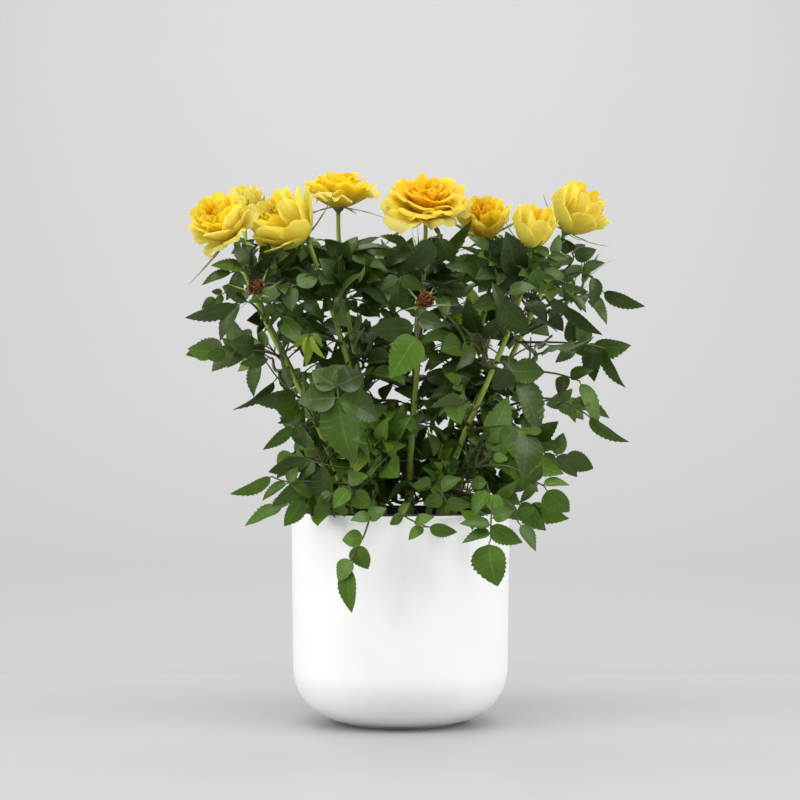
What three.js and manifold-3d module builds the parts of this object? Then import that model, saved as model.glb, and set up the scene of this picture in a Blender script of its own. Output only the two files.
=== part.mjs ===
// Rose bush: a miniature yellow rose in its nursery pot, standing in a round white pot.
// Millimetres, +Z up. The origin is the centre of the white pot's flat foot.
// Canes rise from the soil, each to a bloom or a bud. Masses of foliage grow sideways from the canes, each
// on a shoot of its own, and each keeps to the space nearest to its own centre.
import * as THREE from "three";
import { mergeVertices } from "three/addons/utils/BufferGeometryUtils.js";
import Module from "manifold-3d";

const wasm = await Module();
wasm.setup();

// ---- driving sizes, mm and degrees

const clear = 0.3; // gap between two pieces that touch
const pot = {
  rimRadius: 65.4,
  bodyRadius: 64.3, // above the rounded bottom edge
  height: 126,
  cornerRadius: 32,
  wall: 4.2,
  edge: 1.3, // the rim's rounded edge
  footRadius: 34,
  footHeight: 1,
  sides: 30,
};
const nursery = {
  rimRadius: 60.2,
  lip: 2.2,
  lipHeight: 7,
  wall: 1.2,
  baseRadius: 40, // above its bevelled foot
  footRadius: 30,
  bevel: 5,
  proud: 0.9,
  sides: 20,
};
const soil = { belowRim: 16, mound: 4, flatShare: 0.84, gap: 0.6 };

const cane = { footRadius: 2.2, tipRadius: 1.25, flare: 1.5, flareHeight: 7, sides: 5, steps: 7 };

// Each cane: where it leaves the soil, where its tip is, which way its tip points, and what it carries.
// Bloom width is across the open petals, and openness runs from 0, a closed bud, to 1, flat open.
const canes = [
  {
    name: "cane_left_front",
    foot: [-30, -12],
    tip: [-97, -31, 286],
    lean: [-0.35, -0.55, 0.75],
    bloom: { width: 42, openness: 0.62 },
  },
  {
    name: "cane_left_back",
    foot: [-27, 16],
    tip: [-95, 24, 300],
    lean: [0.05, -0.05, 1],
    bloom: { width: 24, openness: 0.3 },
  },
  {
    name: "cane_mid_left",
    foot: [-13, -17],
    tip: [-54, -24, 285],
    lean: [-0.5, -0.55, 0.6],
    bloom: { width: 44, openness: 0.5 },
  },
  {
    name: "cane_centre_left",
    foot: [-10, 10],
    tip: [-38, 26, 306],
    lean: [0.03, -0.12, 1],
    bloom: { width: 45, openness: 0.95 },
  },
  {
    name: "cane_centre",
    foot: [4, -7],
    tip: [15, -12, 298],
    lean: [0.02, -0.38, 0.92],
    bloom: { width: 56, openness: 1 },
  },
  {
    name: "cane_centre_right",
    foot: [16, 8],
    tip: [55, 8, 289],
    lean: [-0.12, -0.42, 0.9],
    bloom: { width: 33, openness: 0.45 },
  },
  {
    name: "cane_mid_right",
    foot: [22, -17],
    tip: [76, -22, 279],
    lean: [0.2, -0.25, 0.95],
    bloom: { width: 28, openness: 0.22 },
  },
  {
    name: "cane_right",
    foot: [31, 9],
    tip: [99, 20, 292],
    lean: [0.5, -0.35, 0.8],
    bloom: { width: 37, openness: 0.42 },
  },
  {
    name: "cane_back_left",
    foot: [-12, 32],
    tip: [-38, 66, 262],
    lean: [-0.2, 0.35, 0.9],
    bud: { width: 8 },
  },
  {
    name: "cane_back",
    foot: [6, 24],
    tip: [12, 50, 276],
    lean: [0.1, 0.3, 0.95],
    bud: { width: 8 },
  },
  {
    name: "cane_back_right",
    foot: [24, 30],
    tip: [62, 66, 258],
    lean: [0.3, 0.3, 0.9],
    bud: { width: 8 },
  },
];

// The crown's levels, from the skirt to the top: the height at which shoots leave their canes, the height
// of their leaf tips, the tips' reach from the pot's axis to the left, right, front and back, and a bearing
// for each mass.
const levels = [
  {
    name: "low",
    start: 130,
    tip: 137,
    reach: { left: 96, right: 101, front: 82, back: 86 },
    bearings: [0, 70, 130, 180, 240, 295],
  },
  {
    name: "middle",
    start: 150,
    tip: 170,
    reach: { left: 90, right: 131, front: 86, back: 90 },
    bearings: [0, 90, 150, 210, 268, 315],
  },
  {
    name: "high",
    start: 178,
    tip: 206,
    reach: { left: 120, right: 128, front: 90, back: 96 },
    bearings: [0, 60, 125, 180, 236, 284],
  },
  {
    name: "top",
    start: 212,
    tip: 242,
    reach: { left: 131, right: 143, front: 84, back: 98 },
    bearings: [0, 90, 145, 180, 222, 280, 322],
  },
  {
    name: "crest",
    start: 246,
    tip: 292,
    reach: { left: 104, right: 104, front: 58, back: 76 },
    bearings: [35, 90, 150, 212, 262, 318],
  },
];
// Two sprays hang over the rim in front, lower than the skirt.
const hanging = [
  { name: "hanging_left", start: 134, tip: [-33, -84, 68], leaves: 3 },
  { name: "hanging_right", start: 138, tip: [52, -80, 81], leaves: 3 },
];

// A compound leaf: a stalk with one or two pairs of leaflets and one leaflet at its end. The leaflets'
// places and lengths are shares of the whole leaf's length.
const leaf = {
  lengthAtTip: 60,
  stalkRadius: 0.8,
  rootRadius: 0.5, // the stalk's foot lies on its limb's axis, inside the limb
  sag: 0.42,
  pairAngle: 64,
  widthShare: 0.76,
  thickness: 1,
  rootWidth: 2.6,
};
const leafKinds = {
  three: { pairs: 1, length: 48, stalk: 0.46, pairShare: 0.52, spacing: 0.18 },
  five: { pairs: 2, length: 60, stalk: 0.58, pairShare: 0.4, spacing: 0.32 },
};
const shoot = {
  baseRadius: 1.4,
  tipRadius: 0.9,
  steps: 2,
  arch: 0.08,
  straight: 0.2, // the share of the way that it leaves square to its cane
  shortest: 10,
  nearest: 34, // a cane nearer to the mass's tip than this can't carry it
  caneAbove: 20, // a cane carries a shoot only this far below its tip, or lower
  overRim: { back: 8, above: 6 },
};
const twig = { count: 1, share: 0.42, radius: 0.95 }; // a shoot's side twigs; length as a share of it
const spaceMargin = 0.4; // between two masses' spaces
const leafMargin = 0.4; // between a leaf and whatever it passes
const massCentre = 0.55; // a mass's centre lies at this share of the way from its cane to its tip
const leavesPerMass = 6; // unless the mass names its own number
const facesPerMass = 385; // no more leaves are tried once a mass has this many faces
const tries = 300; // the places tried for a mass's leaves
const lastTries = 12; // the lengths tried for the leaf at its tip

// ---- colours

const finishes = {
  pot: { color: 0xf4f4f2, roughness: 0.55 },
  nursery: { color: 0x1b1b1b, roughness: 0.6 },
  soil: { color: 0x3a2c20, roughness: 0.95 },
  cane: { color: 0x5d7d33, roughness: 0.5 },
  leaf: { color: 0x2f5527, roughness: 0.45 },
  petal: { color: 0xf3c61a, roughness: 0.6 },
  bud: { color: 0x6f8f45, roughness: 0.5 },
};

// ---- small helpers

const up = new THREE.Vector3(0, 0, 1);
const vec = (x, y, z) => new THREE.Vector3(x, y, z);
const mix = (a, b, t) => a + (b - a) * t;
const radians = THREE.MathUtils.degToRad;

// A seeded run of numbers from 0 to 1.
function dice(seed) {
  let state = seed >>> 0;
  return () => {
    state = (Math.imul(state, 1664525) + 1013904223) >>> 0;
    return state / 4294967296;
  };
}

// The part of a vector that is square to a direction, at unit length.
function squareTo(direction, wanted) {
  return wanted.clone().addScaledVector(direction, -wanted.dot(direction)).normalize();
}

function geometryFrom(points, faces) {
  const geometry = new THREE.BufferGeometry();
  const numbers = points.flatMap((p) => [p.x, p.y, p.z]);
  geometry.setAttribute("position", new THREE.Float32BufferAttribute(numbers, 3));
  geometry.setIndex(faces.flat());
  return geometry;
}

function solidFrom(geometry) {
  const bare = geometry.clone();
  bare.deleteAttribute("normal");
  bare.deleteAttribute("uv");
  const merged = mergeVertices(bare, 1e-4);
  return new wasm.Manifold(
    new wasm.Mesh({
      numProp: 3,
      vertProperties: new Float32Array(merged.attributes.position.array),
      triVerts: new Uint32Array(merged.index.array),
    }),
  );
}

function geometryOf(solid) {
  const mesh = solid.getMesh();
  const geometry = new THREE.BufferGeometry();
  geometry.setAttribute("position", new THREE.BufferAttribute(new Float32Array(mesh.vertProperties), 3));
  geometry.setIndex(new THREE.BufferAttribute(new Uint32Array(mesh.triVerts), 1));
  return geometry;
}

// A closed tube round a line of points, with a radius at each point. The first ring lies square to `start`.
function taperedTube(points, radii, sides, start) {
  const rings = [];
  let side = null;
  points.forEach((p, i) => {
    const before = points[Math.max(i - 1, 0)];
    const after = points[Math.min(i + 1, points.length - 1)];
    const along = i === 0 && start ? start.clone() : after.clone().sub(before).normalize();
    side = squareTo(along, side || (Math.abs(along.x) < 0.9 ? vec(1, 0, 0) : vec(0, 1, 0)));
    const other = along.clone().cross(side);
    for (let k = 0; k < sides; k++) {
      const turn = (2 * Math.PI * k) / sides;
      rings.push(
        p
          .clone()
          .addScaledVector(side, radii[i] * Math.cos(turn))
          .addScaledVector(other, radii[i] * Math.sin(turn)),
      );
    }
  });
  const faces = [];
  for (let i = 0; i + 1 < points.length; i++)
    for (let k = 0; k < sides; k++) {
      const a = i * sides + k;
      const b = i * sides + ((k + 1) % sides);
      faces.push([a, b, b + sides], [a, b + sides, a + sides]);
    }
  const last = (points.length - 1) * sides;
  for (let k = 1; k + 1 < sides; k++) faces.push([0, k + 1, k], [last, last + k, last + k + 1]);
  return geometryFrom(rings, faces);
}

// A solid of revolution about Z from a closed profile of [radius, height] points, given anticlockwise.
function turned(profile, sides) {
  const ends = profile.map(([r, z]) => new THREE.Vector2(r, z));
  const closed = profile[0][0] === 0 ? ends : [...ends, ends[0].clone()];
  return new THREE.LatheGeometry(closed, sides).rotateX(Math.PI / 2);
}

// ---- the pots and the soil

const rimTop = pot.height;
const potFloor = pot.footHeight + pot.wall;
const cornerCentre = [pot.bodyRadius - pot.cornerRadius, pot.footHeight + pot.cornerRadius];

// Points of the rounded bottom edge, at a distance from its centre, from flat to upright or back.
function cornerArc(radius, steps) {
  return Array.from({ length: steps + 1 }, (_, i) => {
    const turn = (-Math.PI / 2) * (1 - i / steps);
    return [cornerCentre[0] + radius * Math.cos(turn), cornerCentre[1] + radius * Math.sin(turn)];
  });
}

function whitePot() {
  const outer = cornerArc(pot.cornerRadius, 5);
  const inner = cornerArc(pot.cornerRadius - pot.wall, 4).reverse();
  const outline = [
    [0, 0],
    [pot.footRadius, 0],
    [pot.footRadius, pot.footHeight],
    ...outer.slice(1),
    [pot.rimRadius, rimTop - pot.edge],
    [pot.rimRadius - pot.edge, rimTop],
    [pot.rimRadius - pot.wall + pot.edge, rimTop],
    [pot.rimRadius - pot.wall, rimTop - pot.edge],
    ...inner,
    [0, potFloor],
  ];
  return turned(outline, pot.sides);
}

const nurseryTop = rimTop + nursery.proud;
const nurseryFoot = potFloor + clear;
const nurseryWaist = nurseryFoot + nursery.bevel;

function nurseryRadius(z) {
  const share = (z - nurseryWaist) / (nurseryTop - nurseryWaist);
  return mix(nursery.baseRadius, nursery.rimRadius - nursery.lip, share);
}

function nurseryPot() {
  const { rimRadius, footRadius, lip, lipHeight, wall } = nursery;
  const under = nurseryTop - lipHeight;
  return turned(
    [
      [0, nurseryFoot],
      [footRadius, nurseryFoot],
      [nurseryRadius(nurseryWaist), nurseryWaist],
      [nurseryRadius(under), under],
      [rimRadius, under],
      [rimRadius, nurseryTop],
      [rimRadius - lip, nurseryTop],
      [nurseryRadius(under) - wall, under],
      [nurseryRadius(nurseryWaist) - wall, nurseryWaist + wall * 0.5],
      [footRadius - wall * 0.5, nurseryFoot + wall],
      [0, nurseryFoot + wall],
    ],
    nursery.sides,
  );
}

const soilTop = rimTop - soil.belowRim;
const soilEdge = (z) => nurseryRadius(z) - nursery.wall - soil.gap;

function soilBody() {
  const foot = nurseryFoot + nursery.wall + clear;
  const shoulder = soilTop - soil.mound;
  return turned(
    [
      [0, foot],
      [nursery.footRadius - nursery.wall - soil.gap, foot],
      [soilEdge(nurseryWaist), nurseryWaist + nursery.wall + soil.gap],
      [soilEdge(shoulder), shoulder],
      [soilEdge(soilTop) * soil.flatShare, soilTop],
      [0, soilTop],
    ],
    nursery.sides,
  );
}

// ---- canes

// A cane leaves the soil upright and bends over to the way its tip leans.
function caneCurve(c) {
  const foot = vec(...c.foot, soilTop + clear);
  const tip = vec(...c.tip);
  const height = tip.z - foot.z;
  const end = vec(...c.lean).normalize().lerp(up, 0.45).normalize();
  c.endDirection = end;
  return new THREE.CubicBezierCurve3(
    foot,
    foot.clone().addScaledVector(up, height * 0.3),
    tip.clone().addScaledVector(end, -height * 0.34),
    tip,
  );
}

function caneRadius(t, height) {
  const flare = Math.max(0, 1 - (t * height) / cane.flareHeight);
  return mix(cane.footRadius, cane.tipRadius, Math.pow(t, 0.8)) * mix(1, cane.flare, flare * flare);
}

// Steps along a cane: one short step for the flared foot, and then even ones.
function caneStations(height) {
  const first = cane.flareHeight / height;
  return [0, ...Array.from({ length: cane.steps }, (_, i) => mix(first, 1, i / (cane.steps - 1)))];
}

for (const c of canes) {
  c.curve = caneCurve(c);
  c.height = c.tip[2] - soilTop;
  c.samples = c.curve.getPoints(80);
}

function caneGeometry(c) {
  const stations = caneStations(c.height);
  return taperedTube(
    stations.map((t) => c.curve.getPoint(t)),
    stations.map((t) => caneRadius(t, c.height)),
    cane.sides,
    up,
  );
}

// The point of a cane at a height, and its radius there.
function caneAt(c, z) {
  const i = Math.max(1, c.samples.findIndex((p) => p.z >= z));
  const a = c.samples[i - 1];
  const b = c.samples[i];
  const t = THREE.MathUtils.clamp((z - a.z) / Math.max(b.z - a.z, 1e-6), 0, 1);
  return {
    point: a.clone().lerp(b, t),
    along: b.clone().sub(a).normalize(),
    radius: caneRadius((i - 1 + t) / (c.samples.length - 1), c.height),
  };
}

// ---- blooms and buds

// Rims of a bloom's whorls of petals, outer to inner, as shares of its width: out from its axis, and up
// from its base.
const bloomShape = {
  lobes: 5,
  notch: 0.14,
  closed: { reach: [0.34, 0.26, 0.15], height: [0.95, 1, 0.98], belly: [0.5, 0.42] },
  open: { reach: [0.5, 0.38, 0.24], height: [0.1, 0.27, 0.38], belly: [0.34, 0.0] },
  valley: 0.11,
  heart: 0.07,
  waist: 0.08,
};
const calyx = {
  neck: 2.2,
  hipRadius: 3.1,
  hipHeight: 5.5,
  sepals: 5,
  sepalLength: 15,
  sepalsUp: 50, // degrees above level, under a closed bloom
  sepalsDown: -25, // and under an open one
  bloomWidth: 36, // the bloom that these sizes suit
};
const budShape = { calyxSize: 0.75, sepalAngle: 72, sides: 6 };

// A bloom in whorls of petals, each whorl narrower and more upright than the one outside it. One closed
// surface runs up the outside of the outer whorl, over its lobed edge, down into the valley behind it, up to
// the next edge, and so on to the heart.
function rosette(width, openness) {
  const { closed, open, lobes, valley, heart, waist } = bloomShape;
  const share = (key, i) => width * mix(closed[key][i], open[key][i], openness);
  const rings = [
    { r: width * waist, z: 0, notch: 0, turn: 0 },
    { r: share("belly", 0), z: share("belly", 1) + width * waist, notch: 0, turn: 0 },
  ];
  for (let whorl = 0; whorl < 3; whorl++) {
    const [r, z] = [share("reach", whorl), share("height", whorl)];
    const inner = whorl < 2 ? share("reach", whorl + 1) : width * heart * 2;
    rings.push({ r, z, notch: bloomShape.notch, turn: whorl });
    rings.push({ r: mix(inner, r, 0.3), z: z - width * valley, notch: 0, turn: 0 });
  }
  const columns = lobes * 3;
  const lobed = rings.map(({ r, z, notch, turn }) =>
    Array.from({ length: columns }, (_, k) => {
      const lobe = k % 3 === turn ? 1 - notch : 1;
      const angle = (2 * Math.PI * k) / columns;
      return vec(r * lobe * Math.cos(angle), r * lobe * Math.sin(angle), z * mix(1, lobe, 0.5));
    }),
  );
  return ringedSurface(vec(0, 0, 0), lobed, vec(0, 0, share("height", 2) - width * 0.02));
}

function joined(pieces) {
  let solid = pieces[0];
  for (const piece of pieces.slice(1)) {
    const next = solid.add(piece);
    if (next.decompose().length === 1) solid = next; // a scrap or a sealed hollow leaves that piece out
  }
  return solid;
}

// Rings of points about +Z as one closed surface, from a point at its foot to a point at its top.
function ringedSurface(foot, rings, top) {
  const columns = rings[0].length;
  const points = [...rings.flat(), foot, top];
  const footIndex = points.length - 2;
  const faces = [];
  for (let k = 0; k < columns; k++) {
    const next = (k + 1) % columns;
    for (let i = 0; i + 1 < rings.length; i++) {
      const a = i * columns;
      faces.push([a + k, a + next, a + next + columns], [a + k, a + next + columns, a + k + columns]);
    }
    const last = (rings.length - 1) * columns;
    faces.push([footIndex, next, k], [footIndex + 1, last + k, last + next]);
  }
  return geometryFrom(points, faces);
}

// The neck, the hip above it and the sepals that stand out of the hip's edge, as one star-shaped surface.
function calyxGeometry(size, neckDirection, sepalAngle) {
  const hip = calyx.hipRadius * size;
  const high = calyx.hipHeight * size;
  const columns = calyx.sepals * 2;
  const ring = (radius, z, centre = vec(0, 0, 0)) =>
    Array.from({ length: columns }, (_, k) => {
      const turn = (2 * Math.PI * k) / columns;
      return vec(radius * Math.cos(turn), radius * Math.sin(turn), z).add(centre);
    });
  const neckFoot = neckDirection.clone().multiplyScalar(-calyx.neck);
  const side = squareTo(neckDirection, vec(1, 0, 0));
  const other = neckDirection.clone().cross(side);
  const neckRing = ring(0, 0, neckFoot).map((p, k) => {
    const turn = (2 * Math.PI * k) / columns;
    return p
      .addScaledVector(side, cane.tipRadius * Math.cos(turn))
      .addScaledVector(other, cane.tipRadius * Math.sin(turn));
  });
  const star = ring(hip * 0.8, high * 0.9).map((p, k) => {
    if (k % 2) return p;
    const out = p.clone().setZ(0).normalize();
    const reach = calyx.sepalLength * size;
    p.addScaledVector(out, reach * Math.cos(sepalAngle));
    return p.addScaledVector(up, reach * Math.sin(sepalAngle));
  });
  const swell = ring(cane.tipRadius * 1.3, 0);
  const rings = [neckRing, swell, ring(hip, high * 0.5), star, ring(hip * 0.6, high * 1.15)];
  return { neckFoot, geometry: ringedSurface(neckFoot, rings, vec(0, 0, high * 1.2)) };
}

// Turns a piece that was made about +Z to lean with its cane, and seats it clear of the cane's tip.
function seatedOnCane(solid, c, neckFoot, turnTo) {
  const origin = vec(...c.tip)
    .addScaledVector(c.endDirection, clear)
    .sub(neckFoot.clone().applyQuaternion(turnTo));
  const place = new THREE.Matrix4().makeRotationFromQuaternion(turnTo).setPosition(origin);
  return solid.transform(place.toArray());
}

// How a flower is turned from +Z to its lean, and the way its neck then has to run to meet its cane.
function turnOf(c) {
  const turnTo = new THREE.Quaternion().setFromUnitVectors(up, vec(...c.lean).normalize());
  const neckDirection = c.endDirection.clone().applyQuaternion(turnTo.clone().invert());
  return { turnTo, neckDirection };
}

function bloomSolid(c) {
  const { width, openness } = c.bloom;
  const size = THREE.MathUtils.clamp(width / calyx.bloomWidth, 0.8, 1.25);
  const { turnTo, neckDirection } = turnOf(c);
  const sepalAngle = radians(mix(calyx.sepalsUp, calyx.sepalsDown, openness));
  const base = calyxGeometry(size, neckDirection, sepalAngle);
  const petals = rosette(width, openness).translate(0, 0, calyx.hipHeight * size * 0.7);
  return seatedOnCane(joined([solidFrom(petals), solidFrom(base.geometry)]), c, base.neckFoot, turnTo);
}

// A closed green bud: an egg with a point, in its calyx.
function budSolid(c) {
  const { width } = c.bud;
  const { turnTo, neckDirection } = turnOf(c);
  const base = calyxGeometry(budShape.calyxSize, neckDirection, radians(budShape.sepalAngle));
  const egg = turned(
    [
      [0, 2],
      [width * 0.4, 4],
      [width * 0.5, 7],
      [width * 0.3, 12],
      [0, 16],
    ],
    budShape.sides,
  );
  return seatedOnCane(joined([solidFrom(egg), solidFrom(base.geometry)]), c, base.neckFoot, turnTo);
}

// ---- masses of foliage

// Where a level's leaf tips lie, at a bearing: an ellipse whose four reaches differ.
function reachAt({ left, right, front, back }, bearing) {
  const across = Math.cos(bearing);
  const deep = Math.sin(bearing);
  return vec(across * (across < 0 ? left : right), deep * (deep < 0 ? front : back), 0);
}

const masses = [
  ...levels.flatMap((level) =>
    level.bearings.map((bearing, i) => {
      const tip = reachAt(level.reach, radians(bearing)).setZ(level.tip);
      return { name: `foliage_${level.name}_${i + 1}`, start: level.start, tip };
    }),
  ),
  ...hanging.map((h) => ({ ...h, name: `foliage_${h.name}`, tip: vec(...h.tip), hangs: true })),
];

// A shoot leaves its cane's side square to it, 0.3 mm clear, arches and ends where its last leaf begins.
function shootCurve(mass, c) {
  const from = caneAt(c, mass.start);
  const way = mass.tip.clone().sub(from.point);
  const out = squareTo(from.along, way);
  const distance = way.length();
  const lastLeaf = Math.min(leaf.lengthAtTip, distance - shoot.shortest);
  // A hanging spray goes over the rim before its last leaf drops.
  const end = mass.hangs
    ? vec(mass.tip.x, mass.tip.y + shoot.overRim.back, rimTop + shoot.overRim.above)
    : mass.tip.clone().addScaledVector(way.clone().normalize(), -lastLeaf);
  const beginning = from.point.clone().addScaledVector(out, from.radius + clear);
  const middle = beginning.clone().lerp(end, 0.5).addScaledVector(up, distance * shoot.arch);
  const second = beginning.clone().addScaledVector(out, distance * shoot.straight);
  return { out, distance, curve: new THREE.CubicBezierCurve3(beginning, second, middle, end) };
}

function shootSolid({ out, curve }, extra) {
  const even = Array.from({ length: shoot.steps }, (_, i) => mix(0.2, 1, i / (shoot.steps - 1)));
  const stations = [0, ...even];
  const radii = stations.map((t) => mix(shoot.baseRadius, shoot.tipRadius, t) + extra);
  const points = stations.map((t) => curve.getPoint(t));
  return solidFrom(taperedTube(points, radii, 4, out));
}

// Each mass grows from the nearest cane whose shoot passes all that stands already, and the other shoots.
function chooseShoots(obstacles) {
  const shoots = [];
  masses.forEach((mass, i) => {
    mass.random = dice(101 + 17 * i);
    const choices = canes
      .filter((c) => c.tip[2] > mass.start + shoot.caneAbove)
      .map((c) => ({ ...shootCurve(mass, c), carrier: c }))
      .filter((choice) => choice.distance > shoot.nearest)
      .sort((a, b) => a.distance - b.distance);
    const free = choices.find((choice) => {
      const others = obstacles.filter((o) => o.name !== choice.carrier.name);
      const passes = !overlaps(shootSolid(choice, leafMargin), [...others, ...shoots]);
      return passes && !overlaps(shootSolid(choice, 0), obstacles);
    });
    if (!free) throw new Error(`no cane can carry ${mass.name}`);
    Object.assign(mass, free);
    const solid = shootSolid(free, leafMargin);
    shoots.push({ solid, box: solid.boundingBox(), name: mass.name });
    mass.centre = free.curve.getPoint(0).lerp(mass.tip, massCentre);
  });
  return shoots;
}

// A mass's space is all that lies nearer to its centre than to any other mass's.
function keepsToSpace(mass, points) {
  return points.every((p) => {
    const own = p.distanceTo(mass.centre) + spaceMargin;
    return masses.every((other) => other === mass || p.distanceTo(other.centre) > own);
  });
}

// The frames of a compound leaf: its stalk's three-sided rings, and for each leaflet its root, its way and
// its size. Leaflets in pairs stand between two rings, and the last one stands on the end ring.
function leafPlan(base, direction, facing, length, kind, random) {
  const normal = squareTo(direction, facing);
  const side = normal.clone().cross(direction);
  const stalk = length * kind.stalk;
  const at = (s) =>
    base
      .clone()
      .addScaledVector(direction, stalk * s)
      .addScaledVector(up, -stalk * leaf.sag * s * s);
  const half = leaf.rootWidth / 2 / stalk;
  const step = (kind.spacing * length) / stalk;
  const middles = Array.from({ length: kind.pairs }, (_, i) => 1 - 0.16 * (length / stalk) - i * step);
  const stops = [...middles].reverse().flatMap((s) => [s - half, s + half]);
  const stations = [0, ...stops, 1];
  const ring = (s) => {
    const r = s ? leaf.stalkRadius : leaf.rootRadius;
    const p = at(s);
    return [
      p.clone().addScaledVector(normal, r),
      p.clone().addScaledVector(normal, -r * 0.5).addScaledVector(side, r * 0.87),
      p.clone().addScaledVector(normal, -r * 0.5).addScaledVector(side, -r * 0.87),
    ];
  };
  const leaflets = [];
  const plan = (root, along, size, slot, hand) => {
    const n = squareTo(along, normal.clone().addScaledVector(side, mix(-0.4, 0.4, random())));
    const leaflet = { root, along, normal: n, across: n.clone().cross(along), size, slot, hand };
    leaflet.guard = guardSolid(leaflet);
    leaflet.box = leaflet.guard.boundingBox();
    leaflets.push(leaflet);
  };
  const endWay = direction.clone().addScaledVector(up, -1.5 * leaf.sag).normalize();
  plan(at(1), endWay, length * (1 - kind.stalk), 0, 0);
  middles.forEach((s, i) => {
    for (const hand of [1, -1]) {
      const turn = radians(leaf.pairAngle + mix(-6, 6, random())) * hand;
      const along = direction
        .clone()
        .multiplyScalar(Math.cos(turn))
        .addScaledVector(side, Math.sin(turn))
        .addScaledVector(up, -leaf.sag * mix(0.3, 1.3, random()))
        .normalize();
      plan(at(s), along, length * kind.pairShare * (1 - 0.1 * i), (kind.pairs - i) * 2 - 1, hand);
    }
  });
  const outer = [at(Math.min(5 / stalk, 0.6)), at(0.8), at(1)];
  const radius = leaf.stalkRadius;
  const stalkSolid = solidFrom(taperedTube(outer, [radius, radius, radius], 3, direction));
  return { rings: stations.map(ring), leaflets, stalkSolid };
}

// Where a leaflet's outline lies: its two wide points and its tip, and the raised middle of its blade.
function leafletPoints({ root, along, across, normal, size }, extra) {
  const at = (s, w, h) =>
    root
      .clone()
      .addScaledVector(along, s * (size + extra))
      .addScaledVector(across, w * (size * leaf.widthShare + extra))
      .addScaledVector(normal, h);
  return [at(0.46, 0.5, 0), at(1, 0, 0), at(0.46, -0.5, 0), at(0.45, 0, leaf.thickness + extra)];
}

// A compound leaf as one closed surface. Each leaflet grows out of its own face of the stalk, and where a
// leaflet is left out that face stays closed. A ring's three points are its top, its left and its right.
function leafGeometry({ rings, leaflets }) {
  const points = rings.flat();
  const faces = [[0, 1, 2]];
  // A leaflet opens from the edge start to end on the stalk's top and the edge below it. At the stalk's end
  // the two top points are one.
  const grow = (start, end, lowEnd, lowStart, leaflet) => {
    const [left, tip, right, crest] = leafletPoints(leaflet, 0).map((p) => points.push(p) - 1);
    if (start !== end) faces.push([start, end, crest]);
    faces.push([end, right, crest], [right, tip, crest], [tip, left, crest], [left, start, crest]);
    faces.push([end, lowEnd, right], [lowStart, start, left]);
    faces.push([left, tip, right], [lowStart, left, right], [lowEnd, lowStart, right]);
  };
  const growing = (slot, hand) => leaflets.find((l) => l.slot === slot && l.hand === hand);
  for (let i = 0; i + 1 < rings.length; i++) {
    const [a, b, c] = [i * 3, i * 3 + 1, i * 3 + 2];
    const [nextA, nextB, nextC] = [a + 3, b + 3, c + 3];
    const left = growing(i, 1);
    const right = growing(i, -1);
    faces.push([b, nextB, nextC], [b, nextC, c]);
    if (left) grow(a, nextA, nextB, b, left);
    else faces.push([a, nextA, nextB], [a, nextB, b]);
    if (right) grow(nextA, a, c, nextC, right);
    else faces.push([c, nextC, nextA], [c, nextA, a]);
  }
  const top = (rings.length - 1) * 3;
  const last = leaflets.find((l) => l.hand === 0);
  if (last) grow(top, top, top + 2, top + 1, last);
  else faces.push([top, top + 2, top + 1]);
  return geometryFrom(points, faces);
}

function overlaps(solid, others) {
  const box = solid.boundingBox();
  return others.some((other) => {
    const b = other.box;
    const apart = [0, 1, 2].some((k) => box.min[k] > b.max[k] || b.min[k] > box.max[k]);
    return !apart && solid.intersect(other.solid).volume() > 1e-3;
  });
}

// A leaflet as a thicker, wider body of its own, to test what it would touch.
function guardSolid(leaflet) {
  const { root, along, normal, size } = leaflet;
  const foot = root.clone().addScaledVector(along, leaf.stalkRadius + leafMargin);
  const under = root.clone().addScaledVector(along, size * 0.45).addScaledVector(normal, -leafMargin);
  const rim = [0, 1, 2, 3].map((i) => [i, (i + 1) % 4]);
  const faces = rim.flatMap(([i, next]) => [[next, i, 4], [i, next, 5]]);
  const [left, tip, right, crest] = leafletPoints(leaflet, leafMargin);
  return solidFrom(geometryFrom([foot, left, tip, right, crest, under], faces));
}

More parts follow.
